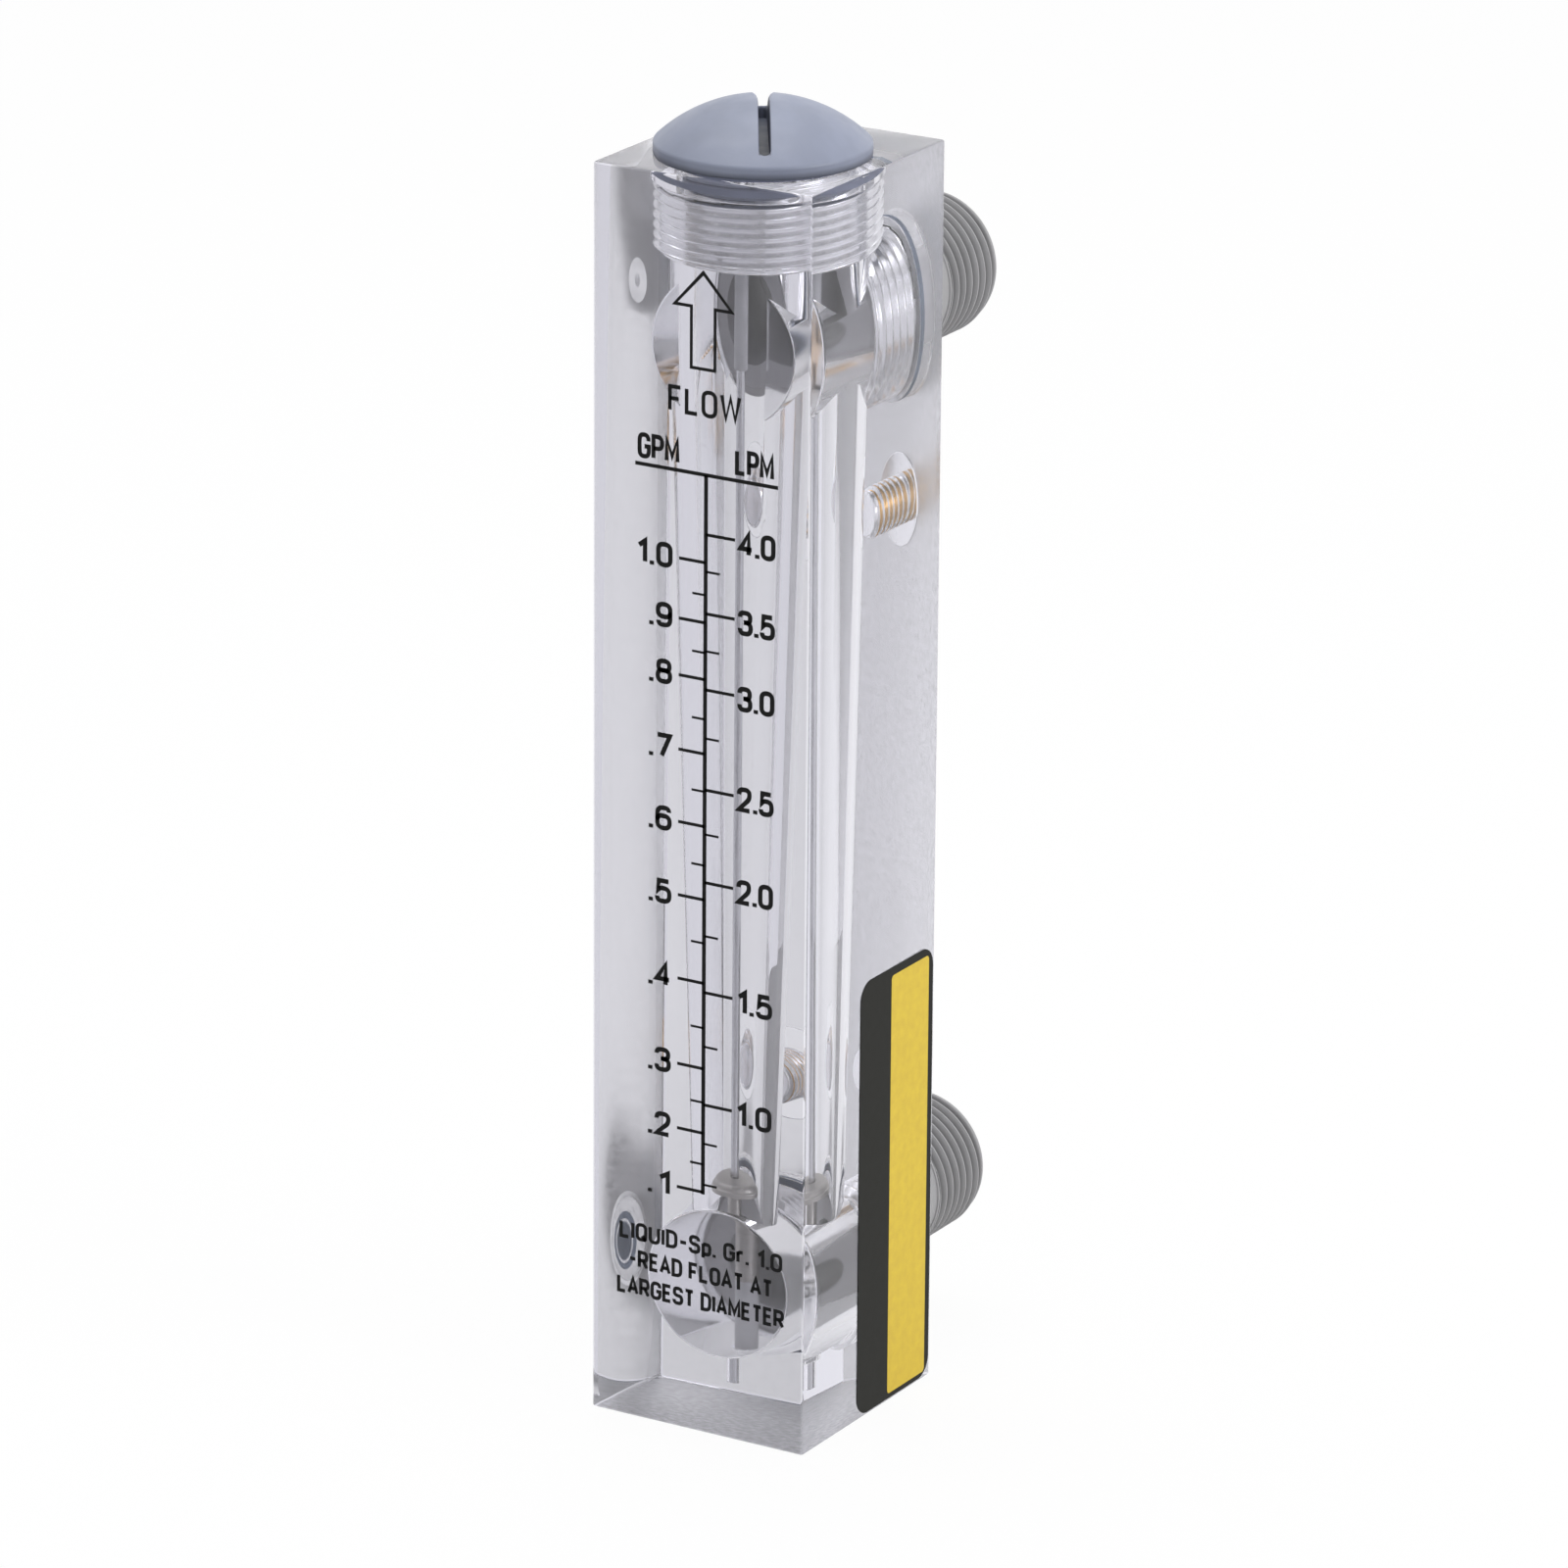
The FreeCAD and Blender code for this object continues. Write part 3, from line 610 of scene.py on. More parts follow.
def acrylic_block():
    """The block: a box with fine bevels, less every bore."""
    low = block_low + np.array([0, FRONT_STEP, 0])
    piece = shown("acrylic_block", box_mesh("acrylic_block", low, block_high))
    bevel = piece.modifiers.new("edges", "BEVEL")
    bevel.width = BLOCK_BEVEL
    bevel.segments = 2
    bevel.limit_method = "ANGLE"
    settle(piece)
    cut(piece, bore_cutter())
    cut(piece, port_cutter(INLET_HEIGHT))
    cut(piece, port_cutter(OUTLET_HEIGHT))
    cut(piece, insert_cutter("lower_insert"), insert_cutter("upper_insert"))
    kinds = face_kinds(piece.data)
    finish(piece, ACRYLIC_POLISHED, "meter", ["meter_block"])
    for material in (ACRYLIC_BORED, ACRYLIC_TAPPED, ACRYLIC_FACED, ACRYLIC_SAWN, ACRYLIC_FOOT,
                     ACRYLIC_FRONT):
        piece.data.materials.append(material)
    piece.data.polygons.foreach_set("material_index", kinds)
    return piece


# ---- the plug ----

GROOVE_ABOVE, GROOVE_WIDTH = 0.75, 1.4
HEAD_GAP = 0.02
LIP_LEAST, LIP_GAIN = 0.28, 0.85


def dome_height(reach):
    """Height of the head's top at a distance from its axis: a sphere down to the rim's rounding."""
    rise = plug_high[2] - BLOCK_TOP - HEAD_RIM
    ball = (HEAD_RADIUS ** 2 + rise ** 2) / (2 * rise)
    return plug_high[2] - ball + np.sqrt(ball ** 2 - np.minimum(np.abs(reach), HEAD_RADIUS) ** 2)


def plug_body():
    """Plug with socket, thread, seal groove, neck and domed head, as one turned surface."""
    floor = plug_low[2]
    root, crest = PLUG_MINOR - THREAD_GAP, PLUG_MAJOR - THREAD_GAP
    socket = rod_high[2] + 0.5
    start = floor + 0.75
    in_step = (PLUG_FLOOR - start) / PLUG_PITCH % 1
    below = soft([(socket, 0, 0), (socket, ROD_HOLE, 0), (floor, ROD_HOLE, 0.1), (floor, root - 0.8, 0.1),
                  (start, root, 0)])
    thread = thread_rows(start, PLUG_RECESS_FLOOR, PLUG_PITCH, root, crest,
                         run_in=0.9, run_out=0.5, rounding=0.2, phase=in_step)
    groove = PLUG_RECESS_FLOOR + GROOVE_ABOVE
    dome_radius = HEAD_RADIUS - 0.6
    edge = soft([
        (PLUG_RECESS_FLOOR, root, 0), (groove, SEAL_GROOVE, 0.1), (groove + GROOVE_WIDTH, SEAL_GROOVE, 0.1),
        (groove + GROOVE_WIDTH, NECK_RADIUS, 0.12), (BLOCK_TOP + HEAD_GAP, NECK_RADIUS, 0.1),
        (BLOCK_TOP + HEAD_GAP, HEAD_RADIUS, 0.3), (BLOCK_TOP + HEAD_RIM, HEAD_RADIUS, 0.3),
        (dome_height(dome_radius), dome_radius, 0),
    ], 7)
    reach = np.linspace(dome_radius, 0, 30)[1:]
    dome = np.stack([dome_height(reach), reach], 1)
    rows = stack(plain_rows(below), thread, plain_rows(edge), plain_rows(dome))
    return turned("plug_body", rows, BORE_AXIS)


def slot_cutter():
    """The coin slot: a wall outline carried up from the floor to above the head.

    The outline is a slim rounded bar. Its walls stand straight up to the dome's height less the lip,
    flare outwards by lip * (1 - cos) while they rise by lip * sin, and then stand up past the head. The
    lip widens from the near end to the far end.
    """
    side = np.linspace(-1, 1, 60)
    bend = np.linspace(-np.pi / 2, np.pi / 2, 14)[1:-1]
    straight = SLOT_REACH - SLOT_HALF
    along = np.concatenate([side * straight, straight + SLOT_HALF * np.cos(bend),
                            -side * straight, -straight - SLOT_HALF * np.cos(bend)])
    across = np.concatenate([-SLOT_HALF * np.ones_like(side), SLOT_HALF * np.sin(bend),
                             SLOT_HALF * np.ones_like(side), -SLOT_HALF * np.sin(bend)])
    normal = np.stack([np.concatenate([0 * side, np.cos(bend), 0 * side, -np.cos(bend)]),
                       np.concatenate([-1 + 0 * side, np.sin(bend), 1 + 0 * side, -np.sin(bend)])])
    share = np.clip((along + 3.0) / 9.0, 0, 1)
    lip = LIP_LEAST + LIP_GAIN * share * share * (3 - 2 * share) * np.abs(normal[1])
    sweep = np.radians([0, 0, 16, 32, 48, 64, 80, 80])[:, None]
    away = lip * (1 - np.cos(sweep))
    height = dome_height(np.hypot(along, across)) - lip + lip * np.sin(sweep) * 1.02
    height[0] = BLOCK_TOP + SLOT_FLOOR
    height[-1] = plug_high[2] + 2.0
    run, over = along + away * normal[0], across + away * normal[1]
    cos, sin = math.cos(SLOT_TURN), math.sin(SLOT_TURN)
    x = BORE_AXIS[0] + over * cos - run * sin
    y = BORE_AXIS[1] + over * sin + run * cos
    points = np.stack([x, y, height], -1)
    points = np.concatenate([points, points[:, :1]], 1)
    mesh = mesh_from("slot_cutter", points, grid_faces(*points.shape[:2]))
    work = bmesh.new()
    work.from_mesh(mesh)
    bmesh.ops.holes_fill(work, edges=work.edges, sides=0)
    bmesh.ops.recalc_face_normals(work, faces=work.faces)
    work.to_mesh(mesh)
    work.free()
    return mesh


def slotted_plug():
    """The plug: its turned body less the coin slot."""
    piece = shown("slotted_plug", plug_body())
    cut(piece, slot_cutter())
    return finish(piece, PLUG_PLASTIC, "meter", ["top_plug"])


SEAL_GAP, SEAL_PRESS = 0.02, 0.02
PORT_GROOVE = 11.55


def pressed_seal(name, node, axis, groove, wall, material):
    """A rubber ring round its groove: a bar section with round corners, pressed a little into the wall."""
    low, high = node_box(node)
    centre = (low + high) / 2
    side = 2 if axis == "z" else 1
    foot, top = low[side] + SEAL_GAP, high[side] - SEAL_GAP
    middle = (groove + wall) / 2
    section = soft([(foot, middle, 0), (foot, wall, 0.35), (top, wall, 0.35), (top, groove, 0.35),
                    (foot, groove, 0.35), (foot, middle, 0)])
    origin = centre.copy()
    origin[side] = 0
    piece = shown(name, turned(name, plain_rows(section), origin, axis))
    return finish(piece, material, "meter", [node])


# ---- connectors ----

HEX_FLAT, HEX_LENGTH = 10.925, 7.3
PORT_BORE = 6.8
COLLAR_RADIUS = 12.75
SHANK_RADIUS = 10.2
LEAD_IN = 0.9
PIPE_TIP = 2.1


def hexagon_rows(low, high, bevel):
    """A six-sided length: the radius is flat / cos(angle to the nearest flat), cut by a cone at its end."""
    angle = np.linspace(0, 2 * np.pi, COLUMNS + 1)[None, :]
    sixth = np.pi / 3
    from_flat = (angle - np.pi / 2 + sixth / 2) % sixth - sixth / 2
    sides = HEX_FLAT / np.cos(from_flat)
    along = np.concatenate([[low, low + 0.05], np.linspace(high - bevel, high, 10)])[:, None]
    cone = HEX_FLAT - 0.25 + (high - along) * (HEX_FLAT / math.cos(sixth / 2) - HEX_FLAT + 0.3) / bevel
    return np.repeat(along, COLUMNS + 1, 1), np.minimum(sides, np.maximum(cone, HEX_FLAT - 0.25))


def connector(name, node):
    """Block thread, collar, hexagon, shank and pipe thread round a plain bore, as one turned surface."""
    low, high = node_box(node)
    seal_high = node_box(node.replace("connector", "seal"))[1]
    inner, outer = low[1], high[1]
    root = PORT_MINOR - THREAD_GAP
    collar = seal_high[1] + SEAL_GAP
    hex_end = BLOCK_BACK + HEX_LENGTH
    thread_start, thread_end = outer - PIPE_LENGTH, outer - PIPE_TIP
    first_crest = (outer - 14.5 - thread_start) / PIPE_PITCH
    in_step = (PORT_THREAD_END - inner - LEAD_IN) / PORT_PITCH % 1
    first = soft([(inner, PORT_BORE, 0), (inner, root - LEAD_IN, 0.1), (inner + LEAD_IN, root, 0)])
    block_thread = thread_rows(inner + LEAD_IN, PORT_RECESS_FLOOR - 0.3, PORT_PITCH, root,
                               PORT_MAJOR - THREAD_GAP, crest_share=0.10, root_share=0.20,
                               run_in=1.2, run_out=0.6, rounding=0.2, phase=in_step)
    middle = soft([
        (PORT_RECESS_FLOOR - 0.3, root, 0), (collar, root + 0.4, 0.1), (collar, COLLAR_RADIUS, 0.2),
        (BLOCK_BACK, COLLAR_RADIUS, 0.2), (BLOCK_BACK, HEX_FLAT - 0.2, 0),
    ])
    root_ring, crest_ring = PIPE_ROOT + 0.02, PIPE_CREST - 0.02
    shank = soft([
        (hex_end, HEX_FLAT - 0.25, 0), (hex_end, SHANK_RADIUS, 0.15),
        (thread_start - 0.4, SHANK_RADIUS, 0.05), (thread_start - 0.35, crest_ring, 0.1),
        (thread_start, crest_ring, 0.1), (thread_start, root_ring, 0),
    ])
    pipe_thread = thread_rows(thread_start, thread_end, PIPE_PITCH, PIPE_ROOT, PIPE_CREST, crest_share=0.14,
                              root_share=0.3, run_in=0.15, run_out=0.5, rounding=0.4, phase=first_crest)
    last = soft([
        (thread_end, root_ring, 0), (thread_end + 0.45, SHANK_RADIUS, 0.25), (outer - 0.9, 9.95, 0.2),
        (outer, 9.1, 0.4), (outer, PORT_BORE + 0.55, 0.15), (outer - 0.55, PORT_BORE, 0.1),
        (inner, PORT_BORE, 0),
    ])
    rows = stack(plain_rows(first), block_thread, plain_rows(middle), hexagon_rows(BLOCK_BACK, hex_end, 1.0),
                 plain_rows(shank), pipe_thread, plain_rows(last))
    piece = shown(name, turned(name, rows, line_along_y(low, high), "y"))
    return finish(piece, CONNECTOR_PLASTIC, "meter", [node])


# ---- float, inserts, rod and seals ----

FLOAT_HOLE, TAIL_RADIUS, FLANGE_RADIUS = 0.96, 1.45, 5.0
TAIL_LENGTH = 13.6


def float_on_rod():
    """The float: a thin tail, a flange and a rounded cap with a dished mouth, as one turned surface."""
    foot, top = float_low[2], float_high[2]
    rim = foot + TAIL_LENGTH
    section = soft([
        (foot, FLOAT_HOLE, 0), (foot, TAIL_RADIUS, 0.12), (rim, TAIL_RADIUS, 0.08),
        (rim, FLANGE_RADIUS, 0.1), (rim + 0.7, FLANGE_RADIUS, 0.12), (rim + 0.78, 4.7, 0.08),
        (top - 0.32, 4.2, 0.55), (top, 1.35, 0.22), (top - 0.4, FLOAT_HOLE, 0), (foot, FLOAT_HOLE, 0),
    ], 7)
    piece = shown("float_on_rod", turned("float_on_rod", plain_rows(section), BORE_AXIS))
    return finish(piece, FLOAT_STEEL, "float_body", ["float"])


SCREW_PITCH, SCREW_MINOR, SCREW_MAJOR = 0.8, 2.1, 2.45


def brass_insert(name, node):
    """A brass insert threaded outside and inside, as one turned surface that runs back through its hole."""
    low, high = node_box(node)
    inner, mouth = low[1], high[1]
    root, crest, hole = INSERT_MINOR - INSERT_GAP, INSERT_MAJOR - INSERT_GAP, SCREW_MINOR
    first = soft([(inner, hole, 0), (inner, root - 0.3, 0.08), (inner + 0.4, root, 0)])
    outside = thread_rows(inner + 0.4, mouth - 0.3, INSERT_PITCH, root, crest,
                          run_in=0.5, run_out=0.3, rounding=0.2)
    last = soft([(mouth - 0.3, root, 0), (mouth, root - 0.15, 0.1), (mouth, 2.55, 0.05),
                 (mouth - 0.45, hole, 0)])
    inside = thread_rows(inner + 0.2, mouth - 0.45, SCREW_PITCH, hole, SCREW_MAJOR, run_in=0.3, run_out=0.3)
    rows = stack(plain_rows(first), outside, plain_rows(last), (inside[0][::-1], inside[1][::-1]),
                 plain_rows([(inner + 0.2, hole), (inner, hole)]))
    piece = shown(name, turned(name, rows, line_along_y(low, high), "y"))
    return finish(piece, BRASS, "meter", [node])


def dress(node, material):
    """Gives a solid that stays its material."""
    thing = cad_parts[node]
    thing.data.materials.clear()
    thing.data.materials.append(material)


# ---- printed scale ----

SCALE_X = 0.84
LINE_TOP, LINE_FOOT = 140.5, 35.85
PRINT_SUNK = 0.04
HEAD_HALF, LINE_HALF, LONG_HALF, SHORT_HALF = 0.27, 0.31, 0.23, 0.17
HEAD_LEFT, HEAD_RIGHT = -10.47, 12.24
LITRE_LONG, LITRE_SHORT = 5.5, 3.1
GALLON_LONG, GALLON_SHORT = -3.41, -1.27
NUMBER_HEIGHT, NUMBER_PEN = 3.65, 0.70
NUMBER_WIDTH, SHORT_WIDTH = 5.9, 3.75
LITRE_LEFT, LITRE_DROP = 6.0, 2.15
GALLON_RIGHT, GALLON_DROP = -4.45, 1.75
UNIT_FOOT, UNIT_HEIGHT, UNIT_PEN = 141.3, 3.7, 0.64
UNITS = [("GPM", -10.1, 6.7), ("LPM", 5.4, 6.2)]
ARROW = (-4.73, 5.28, 155.15, 169.26)
ARROW_LINE = 0.455
FLOW_MIDDLE, FLOW_FOOT, FLOW_HEIGHT, FLOW_WIDTH, FLOW_PEN = 0.55, 148.6, 3.9, 11.6, 0.58
NOTE_MIDDLE = 0.5
NOTE_HEIGHT, NOTE_PEN = 2.75, 0.53
NOTE = [("LIQUID-Sp. Gr. 1.0", 26.7, 26.6), ("-READ FLOAT AT", 22.55, 23.6), ("LARGEST DIAMETER", 18.4, 27.4)]
LITRES = {4.0: 132.04, 3.5: 120.76, 3.0: 109.84, 2.5: 95.37, 2.0: 81.9, 1.5: 65.79, 1.0: 49.19}
LITRE_MINOR = [126.76, 115.39, 102.83, 88.91, 74.07, 57.79, 43.41, 37.31]
GALLONS = {1.0: 128.04, 0.9: 119.44, 0.8: 111.29, 0.7: 100.56, 0.6: 90.04, 0.5: 79.35, 0.4: 67.11,
           0.3: 54.51, 0.2: 44.95, 0.1: 36.17}
GALLON_MINOR = [123.4, 115.12, 105.56, 95.09, 84.36, 72.98, 60.52, 49.5, 40.31]
LETTER_GAP = 0.30
ROUND = [(0.29, 1, 0), (0.58, 1, 0.28), (0.58, 0, 0.28), (0, 0, 0.28), (0, 1, 0.28), (0.29, 1, 0)]
LETTERS = {
    " ": (0.12, []),
    ".": (0.02, [[(0.01, -0.09, 0), (0.01, 0.10, 0)]]),
    "-": (0.40, [[(0, 0.46, 0), (0.40, 0.46, 0)]]),
    "0": (0.58, [ROUND]),
    "1": (0.36, [[(0.06, 0.76, 0), (0.34, 1, 0), (0.34, 0, 0)]]),
    "2": (0.58, [[(0, 0.74, 0), (0, 1, 0.25), (0.57, 1, 0.22), (0.57, 0.58, 0.18), (0, 0, 0), (0.58, 0, 0)]]),
    "3": (0.58, [[(0, 0.78, 0), (0, 1, 0.21), (0.55, 1, 0.23), (0.55, 0.54, 0.21), (0.2, 0.54, 0)],
                 [(0.2, 0.54, 0), (0.58, 0.54, 0.25), (0.58, 0, 0.27), (0, 0, 0.22), (0, 0.24, 0)]]),
    "4": (0.62, [[(0.45, 0, 0), (0.45, 1, 0), (0, 0.27, 0), (0.62, 0.27, 0)]]),
    "5": (0.58, [[(0.54, 1, 0), (0.08, 1, 0), (0.03, 0.5, 0), (0.14, 0.64, 0.08), (0.58, 0.64, 0.27),
                  (0.58, 0, 0.28), (0, 0, 0.2), (0, 0.22, 0)]]),
    "6": (0.58, [[(0.55, 0.8, 0), (0.55, 1, 0.19), (0, 1, 0.3), (0, 0, 0.28), (0.58, 0, 0.28),
                  (0.58, 0.6, 0.27), (0, 0.6, 0.24), (0, 0.34, 0)]]),
    "7": (0.58, [[(0, 1, 0), (0.58, 1, 0), (0.2, 0, 0)]]),
    "8": (0.58, [[(0.29, 1, 0), (0.55, 1, 0.24), (0.55, 0.54, 0.2), (0.03, 0.54, 0.2), (0.03, 1, 0.24),
                  (0.29, 1, 0)],
                 [(0.29, 0.54, 0), (0.58, 0.54, 0.24), (0.58, 0, 0.27), (0, 0, 0.27), (0, 0.54, 0.24),
                  (0.29, 0.54, 0)]]),
    "9": (0.58, [[(0.03, 0.2, 0), (0.03, 0, 0.19), (0.58, 0, 0.3), (0.58, 1, 0.28), (0, 1, 0.28),
                  (0, 0.4, 0.27), (0.58, 0.4, 0.24), (0.58, 0.66, 0)]]),
    "A": (0.62, [[(0, 0, 0), (0.31, 1, 0), (0.62, 0, 0)], [(0.1, 0.3, 0), (0.52, 0.3, 0)]]),
    "D": (0.58, [[(0, 0, 0), (0, 1, 0), (0.58, 1, 0.34), (0.58, 0, 0.34), (0, 0, 0)]]),
    "E": (0.50, [[(0.5, 1, 0), (0, 1, 0), (0, 0, 0), (0.5, 0, 0)], [(0, 0.52, 0), (0.44, 0.52, 0)]]),
    "F": (0.50, [[(0.5, 1, 0), (0, 1, 0), (0, 0, 0)], [(0, 0.5, 0), (0.42, 0.5, 0)]]),
    "G": (0.60, [[(0.58, 0.72, 0), (0.58, 1, 0.27), (0, 1, 0.28), (0, 0, 0.28), (0.6, 0, 0.28),
                  (0.6, 0.47, 0), (0.32, 0.47, 0)]]),
    "I": (0.02, [[(0.01, 0, 0), (0.01, 1, 0)]]),
    "L": (0.50, [[(0, 1, 0), (0, 0, 0), (0.5, 0, 0)]]),
    "M": (0.70, [[(0, 0, 0), (0, 1, 0), (0.35, 0.2, 0), (0.7, 1, 0), (0.7, 0, 0)]]),
    "O": (0.58, [ROUND]),
    "P": (0.56, [[(0, 0, 0), (0, 1, 0), (0.56, 1, 0.27), (0.56, 0.45, 0.27), (0, 0.45, 0)]]),
    "Q": (0.60, [ROUND, [(0.34, 0.26, 0), (0.62, -0.04, 0)]]),
    "R": (0.58, [[(0, 0, 0), (0, 1, 0), (0.56, 1, 0.26), (0.56, 0.46, 0.26), (0, 0.46, 0)],
                 [(0.3, 0.46, 0), (0.58, 0, 0)]]),
    "S": (0.58, [[(0.56, 0.76, 0), (0.56, 1, 0.22), (0.02, 1, 0.22), (0.02, 0.55, 0.2), (0.58, 0.48, 0.2),
                  (0.58, 0, 0.26), (0, 0, 0.22), (0, 0.24, 0)]]),
    "T": (0.56, [[(0, 1, 0), (0.56, 1, 0)], [(0.28, 1, 0), (0.28, 0, 0)]]),
    "U": (0.58, [[(0, 1, 0), (0, 0, 0.28), (0.58, 0, 0.28), (0.58, 1, 0)]]),
    "W": (0.84, [[(0, 1, 0), (0.2, 0, 0), (0.42, 0.92, 0), (0.64, 0, 0), (0.84, 1, 0)]]),
    "p": (0.46, [[(0, -0.26, 0), (0, 0.68, 0)],
                 [(0, 0.66, 0), (0.46, 0.66, 0.22), (0.46, 0, 0.22), (0, 0, 0)]]),
    "r": (0.32, [[(0, 0, 0), (0, 0.68, 0)], [(0, 0.42, 0), (0, 0.66, 0.2), (0.32, 0.66, 0)]]),
}


def bars(rects):
    """Printed bars as closed thin boxes: rects holds (left, right, low, high) on the front face."""
    rects = np.asarray(rects, float)
    left, right, low, high = rects.T
    x = np.stack([left, right, right, left], 1)
    z = np.stack([low, low, high, high], 1)
    front = np.full_like(x, BLOCK_FRONT)
    points = np.stack([np.concatenate([x, x], 1), np.concatenate([front, front + PRINT_SUNK], 1),
                       np.concatenate([z, z], 1)], -1)
    one = np.array([[0, 1, 2, 3], [7, 6, 5, 4], [0, 4, 5, 1], [1, 5, 6, 2], [2, 6, 7, 3], [3, 7, 4, 0]])
    faces = (one[None] + 8 * np.arange(len(rects))[:, None, None]).reshape(-1, 4)
    return plain_mesh("bars", points, faces)


MITRE_LEAST = 0.45


def ribbon(path, half):
    """A pen stroke: both sides of the path at half the pen's width, square to it, mitred at its corners.

    A side point lies half / cos(half the turn) from the path, along the mean of both steps' normals. The
    cosine is held above a least value, so that a sharp corner's mitre stays short.
    """
    step = np.diff(path, axis=0)
    step = step[np.linalg.norm(step, axis=1) > 1e-9]
    path = np.vstack([path[:1], path[0] + np.cumsum(step, axis=0)])
    step /= np.linalg.norm(step, axis=1, keepdims=True)
    if np.allclose(path[0], path[-1]):
        before, after = np.vstack([step[-1:], step]), np.vstack([step, step[:1]])
    else:
        before, after = np.vstack([step[:1], step]), np.vstack([step, step[-1:]])
    side = before + after
    side /= np.linalg.norm(side, axis=1, keepdims=True)
    spread = half / np.maximum((side * after).sum(1, keepdims=True), MITRE_LEAST)
    side = np.stack([-side[:, 1], side[:, 0]], 1) * spread
    edges = np.stack([path - side, path + side, path + side, path - side], 1)
    depth = np.array([0.0, 0.0, PRINT_SUNK, PRINT_SUNK]) + BLOCK_FRONT
    points = np.stack([edges[..., 0], np.broadcast_to(depth, edges.shape[:2]), edges[..., 1]], -1)
    rows = len(path)
    corner = np.arange(rows * 4).reshape(rows, 4)
    around = np.roll(corner, -1, 1)
    faces = np.stack([corner[:-1], around[:-1], around[1:], corner[1:]], -1).reshape(-1, 4)
    faces = np.vstack([faces, corner[0][::-1], corner[-1]])
    return plain_mesh("stroke", points, faces)


def lettering(words, left, foot, height, width, pen, middle=False):
    """Words drawn with a pen of one width. Each letter's strokes are corners on a unit grid, softened.

    The words start at left, or have their middle there.
    """
    advance = [LETTERS[letter][0] + LETTER_GAP for letter in words]
    reach = sum(advance) - LETTER_GAP
    wide = (width - pen) / reach
    tall = height - pen
    start = left + pen / 2 - (width / 2 if middle else 0.0)
    meshes = []
    for letter, before in zip(words, np.cumsum([0.0] + advance)):
        for stroke in LETTERS[letter][1]:
            path = soft(stroke, 7, 0.003) + np.array([before, 0.0])
            place = np.array([start, foot + pen / 2]) + path * np.array([wide, tall])
            meshes.append(ribbon(place, pen / 2))
    return meshes


def flow_arrow(left, right, low, high):
    """An upright outlined arrow: a plain mark for the way of the flow."""
    middle = (left + right) / 2
    half = (right - left) / 2
    neck = high - half * 1.1
    stem = half * 0.42
    line = ARROW_LINE
    outer = np.array([[middle - stem, low], [middle + stem, low], [middle + stem, neck], [right, neck],
                      [middle, high], [left, neck], [middle - stem, neck]])
    inner = np.array([[middle - stem + line, low + line], [middle + stem - line, low + line],
                      [middle + stem - line, neck + line], [right - line * 2.1, neck + line],
                      [middle, high - line * 1.7], [left + line * 2.1, neck + line],
                      [middle - stem + line, neck + line]])
    count = len(outer)
    flat = np.concatenate([outer, inner])
    points = np.concatenate([
        np.insert(flat, 1, BLOCK_FRONT, 1), np.insert(flat, 1, BLOCK_FRONT + PRINT_SUNK, 1)])
    here = np.arange(count)
    following = (here + 1) % count
    back = 2 * count
    faces = np.concatenate([
        np.stack([here, following, following + count, here + count], 1),
        np.stack([here + count + back, following + count + back, following + back, here + back], 1),
        np.stack([following, here, here + back, following + back], 1),
        np.stack([here + count, following + count, following + count + back, here + count + back], 1),
    ])
    return plain_mesh("arrow", points, faces)


def joined(name, meshes):
    """Several meshes as one, with faces that point outwards."""
    work = bmesh.new()
    for mesh in meshes:
        work.from_mesh(mesh)
        bpy.data.meshes.remove(mesh)
    bmesh.ops.remove_doubles(work, verts=work.verts, dist=MERGE)
    bmesh.ops.recalc_face_normals(work, faces=work.faces)
    whole = bpy.data.meshes.new(name)
    work.to_mesh(whole)
    work.free()
    return whole


def printed_scale():
    """Headline, two graduated scales with numbers, unit names, flow arrow and a reading note."""
    rects = [(HEAD_LEFT, HEAD_RIGHT, LINE_TOP - HEAD_HALF, LINE_TOP + HEAD_HALF),
             (SCALE_X - LINE_HALF, SCALE_X + LINE_HALF, LINE_FOOT, LINE_TOP)]
    rects += [(SCALE_X, LITRE_LONG, place - LONG_HALF, place + LONG_HALF) for place in LITRES.values()]
    rects += [(SCALE_X, LITRE_SHORT, place - SHORT_HALF, place + SHORT_HALF) for place in LITRE_MINOR]
    rects += [(GALLON_LONG, SCALE_X, place - LONG_HALF, place + LONG_HALF) for place in GALLONS.values()]
    rects += [(GALLON_SHORT, SCALE_X, place - SHORT_HALF, place + SHORT_HALF) for place in GALLON_MINOR]
    meshes = [bars(rects), flow_arrow(*ARROW)]
    for value, place in LITRES.items():
        meshes += lettering("%.1f" % value, LITRE_LEFT, place - LITRE_DROP, NUMBER_HEIGHT, NUMBER_WIDTH,
                            NUMBER_PEN)
    for value, place in GALLONS.items():
        words = "1.0" if value == 1.0 else ("%.1f" % value)[1:]
        width = NUMBER_WIDTH if value == 1.0 else SHORT_WIDTH
        meshes += lettering(words, GALLON_RIGHT - width, place - GALLON_DROP, NUMBER_HEIGHT, width,
                            NUMBER_PEN)
    for words, left, width in UNITS:
        meshes += lettering(words, left, UNIT_FOOT, UNIT_HEIGHT, width, UNIT_PEN)
    meshes += lettering("FLOW", FLOW_MIDDLE, FLOW_FOOT, FLOW_HEIGHT, FLOW_WIDTH, FLOW_PEN, True)
    for words, foot, width in NOTE:
        meshes += lettering(words, NOTE_MIDDLE, foot, NOTE_HEIGHT, width, NOTE_PEN, True)
    piece = shown("printed_scale", joined("printed_scale", meshes))
    return finish(piece, INK, "meter", smooth=False)


# ---- side sticker ----

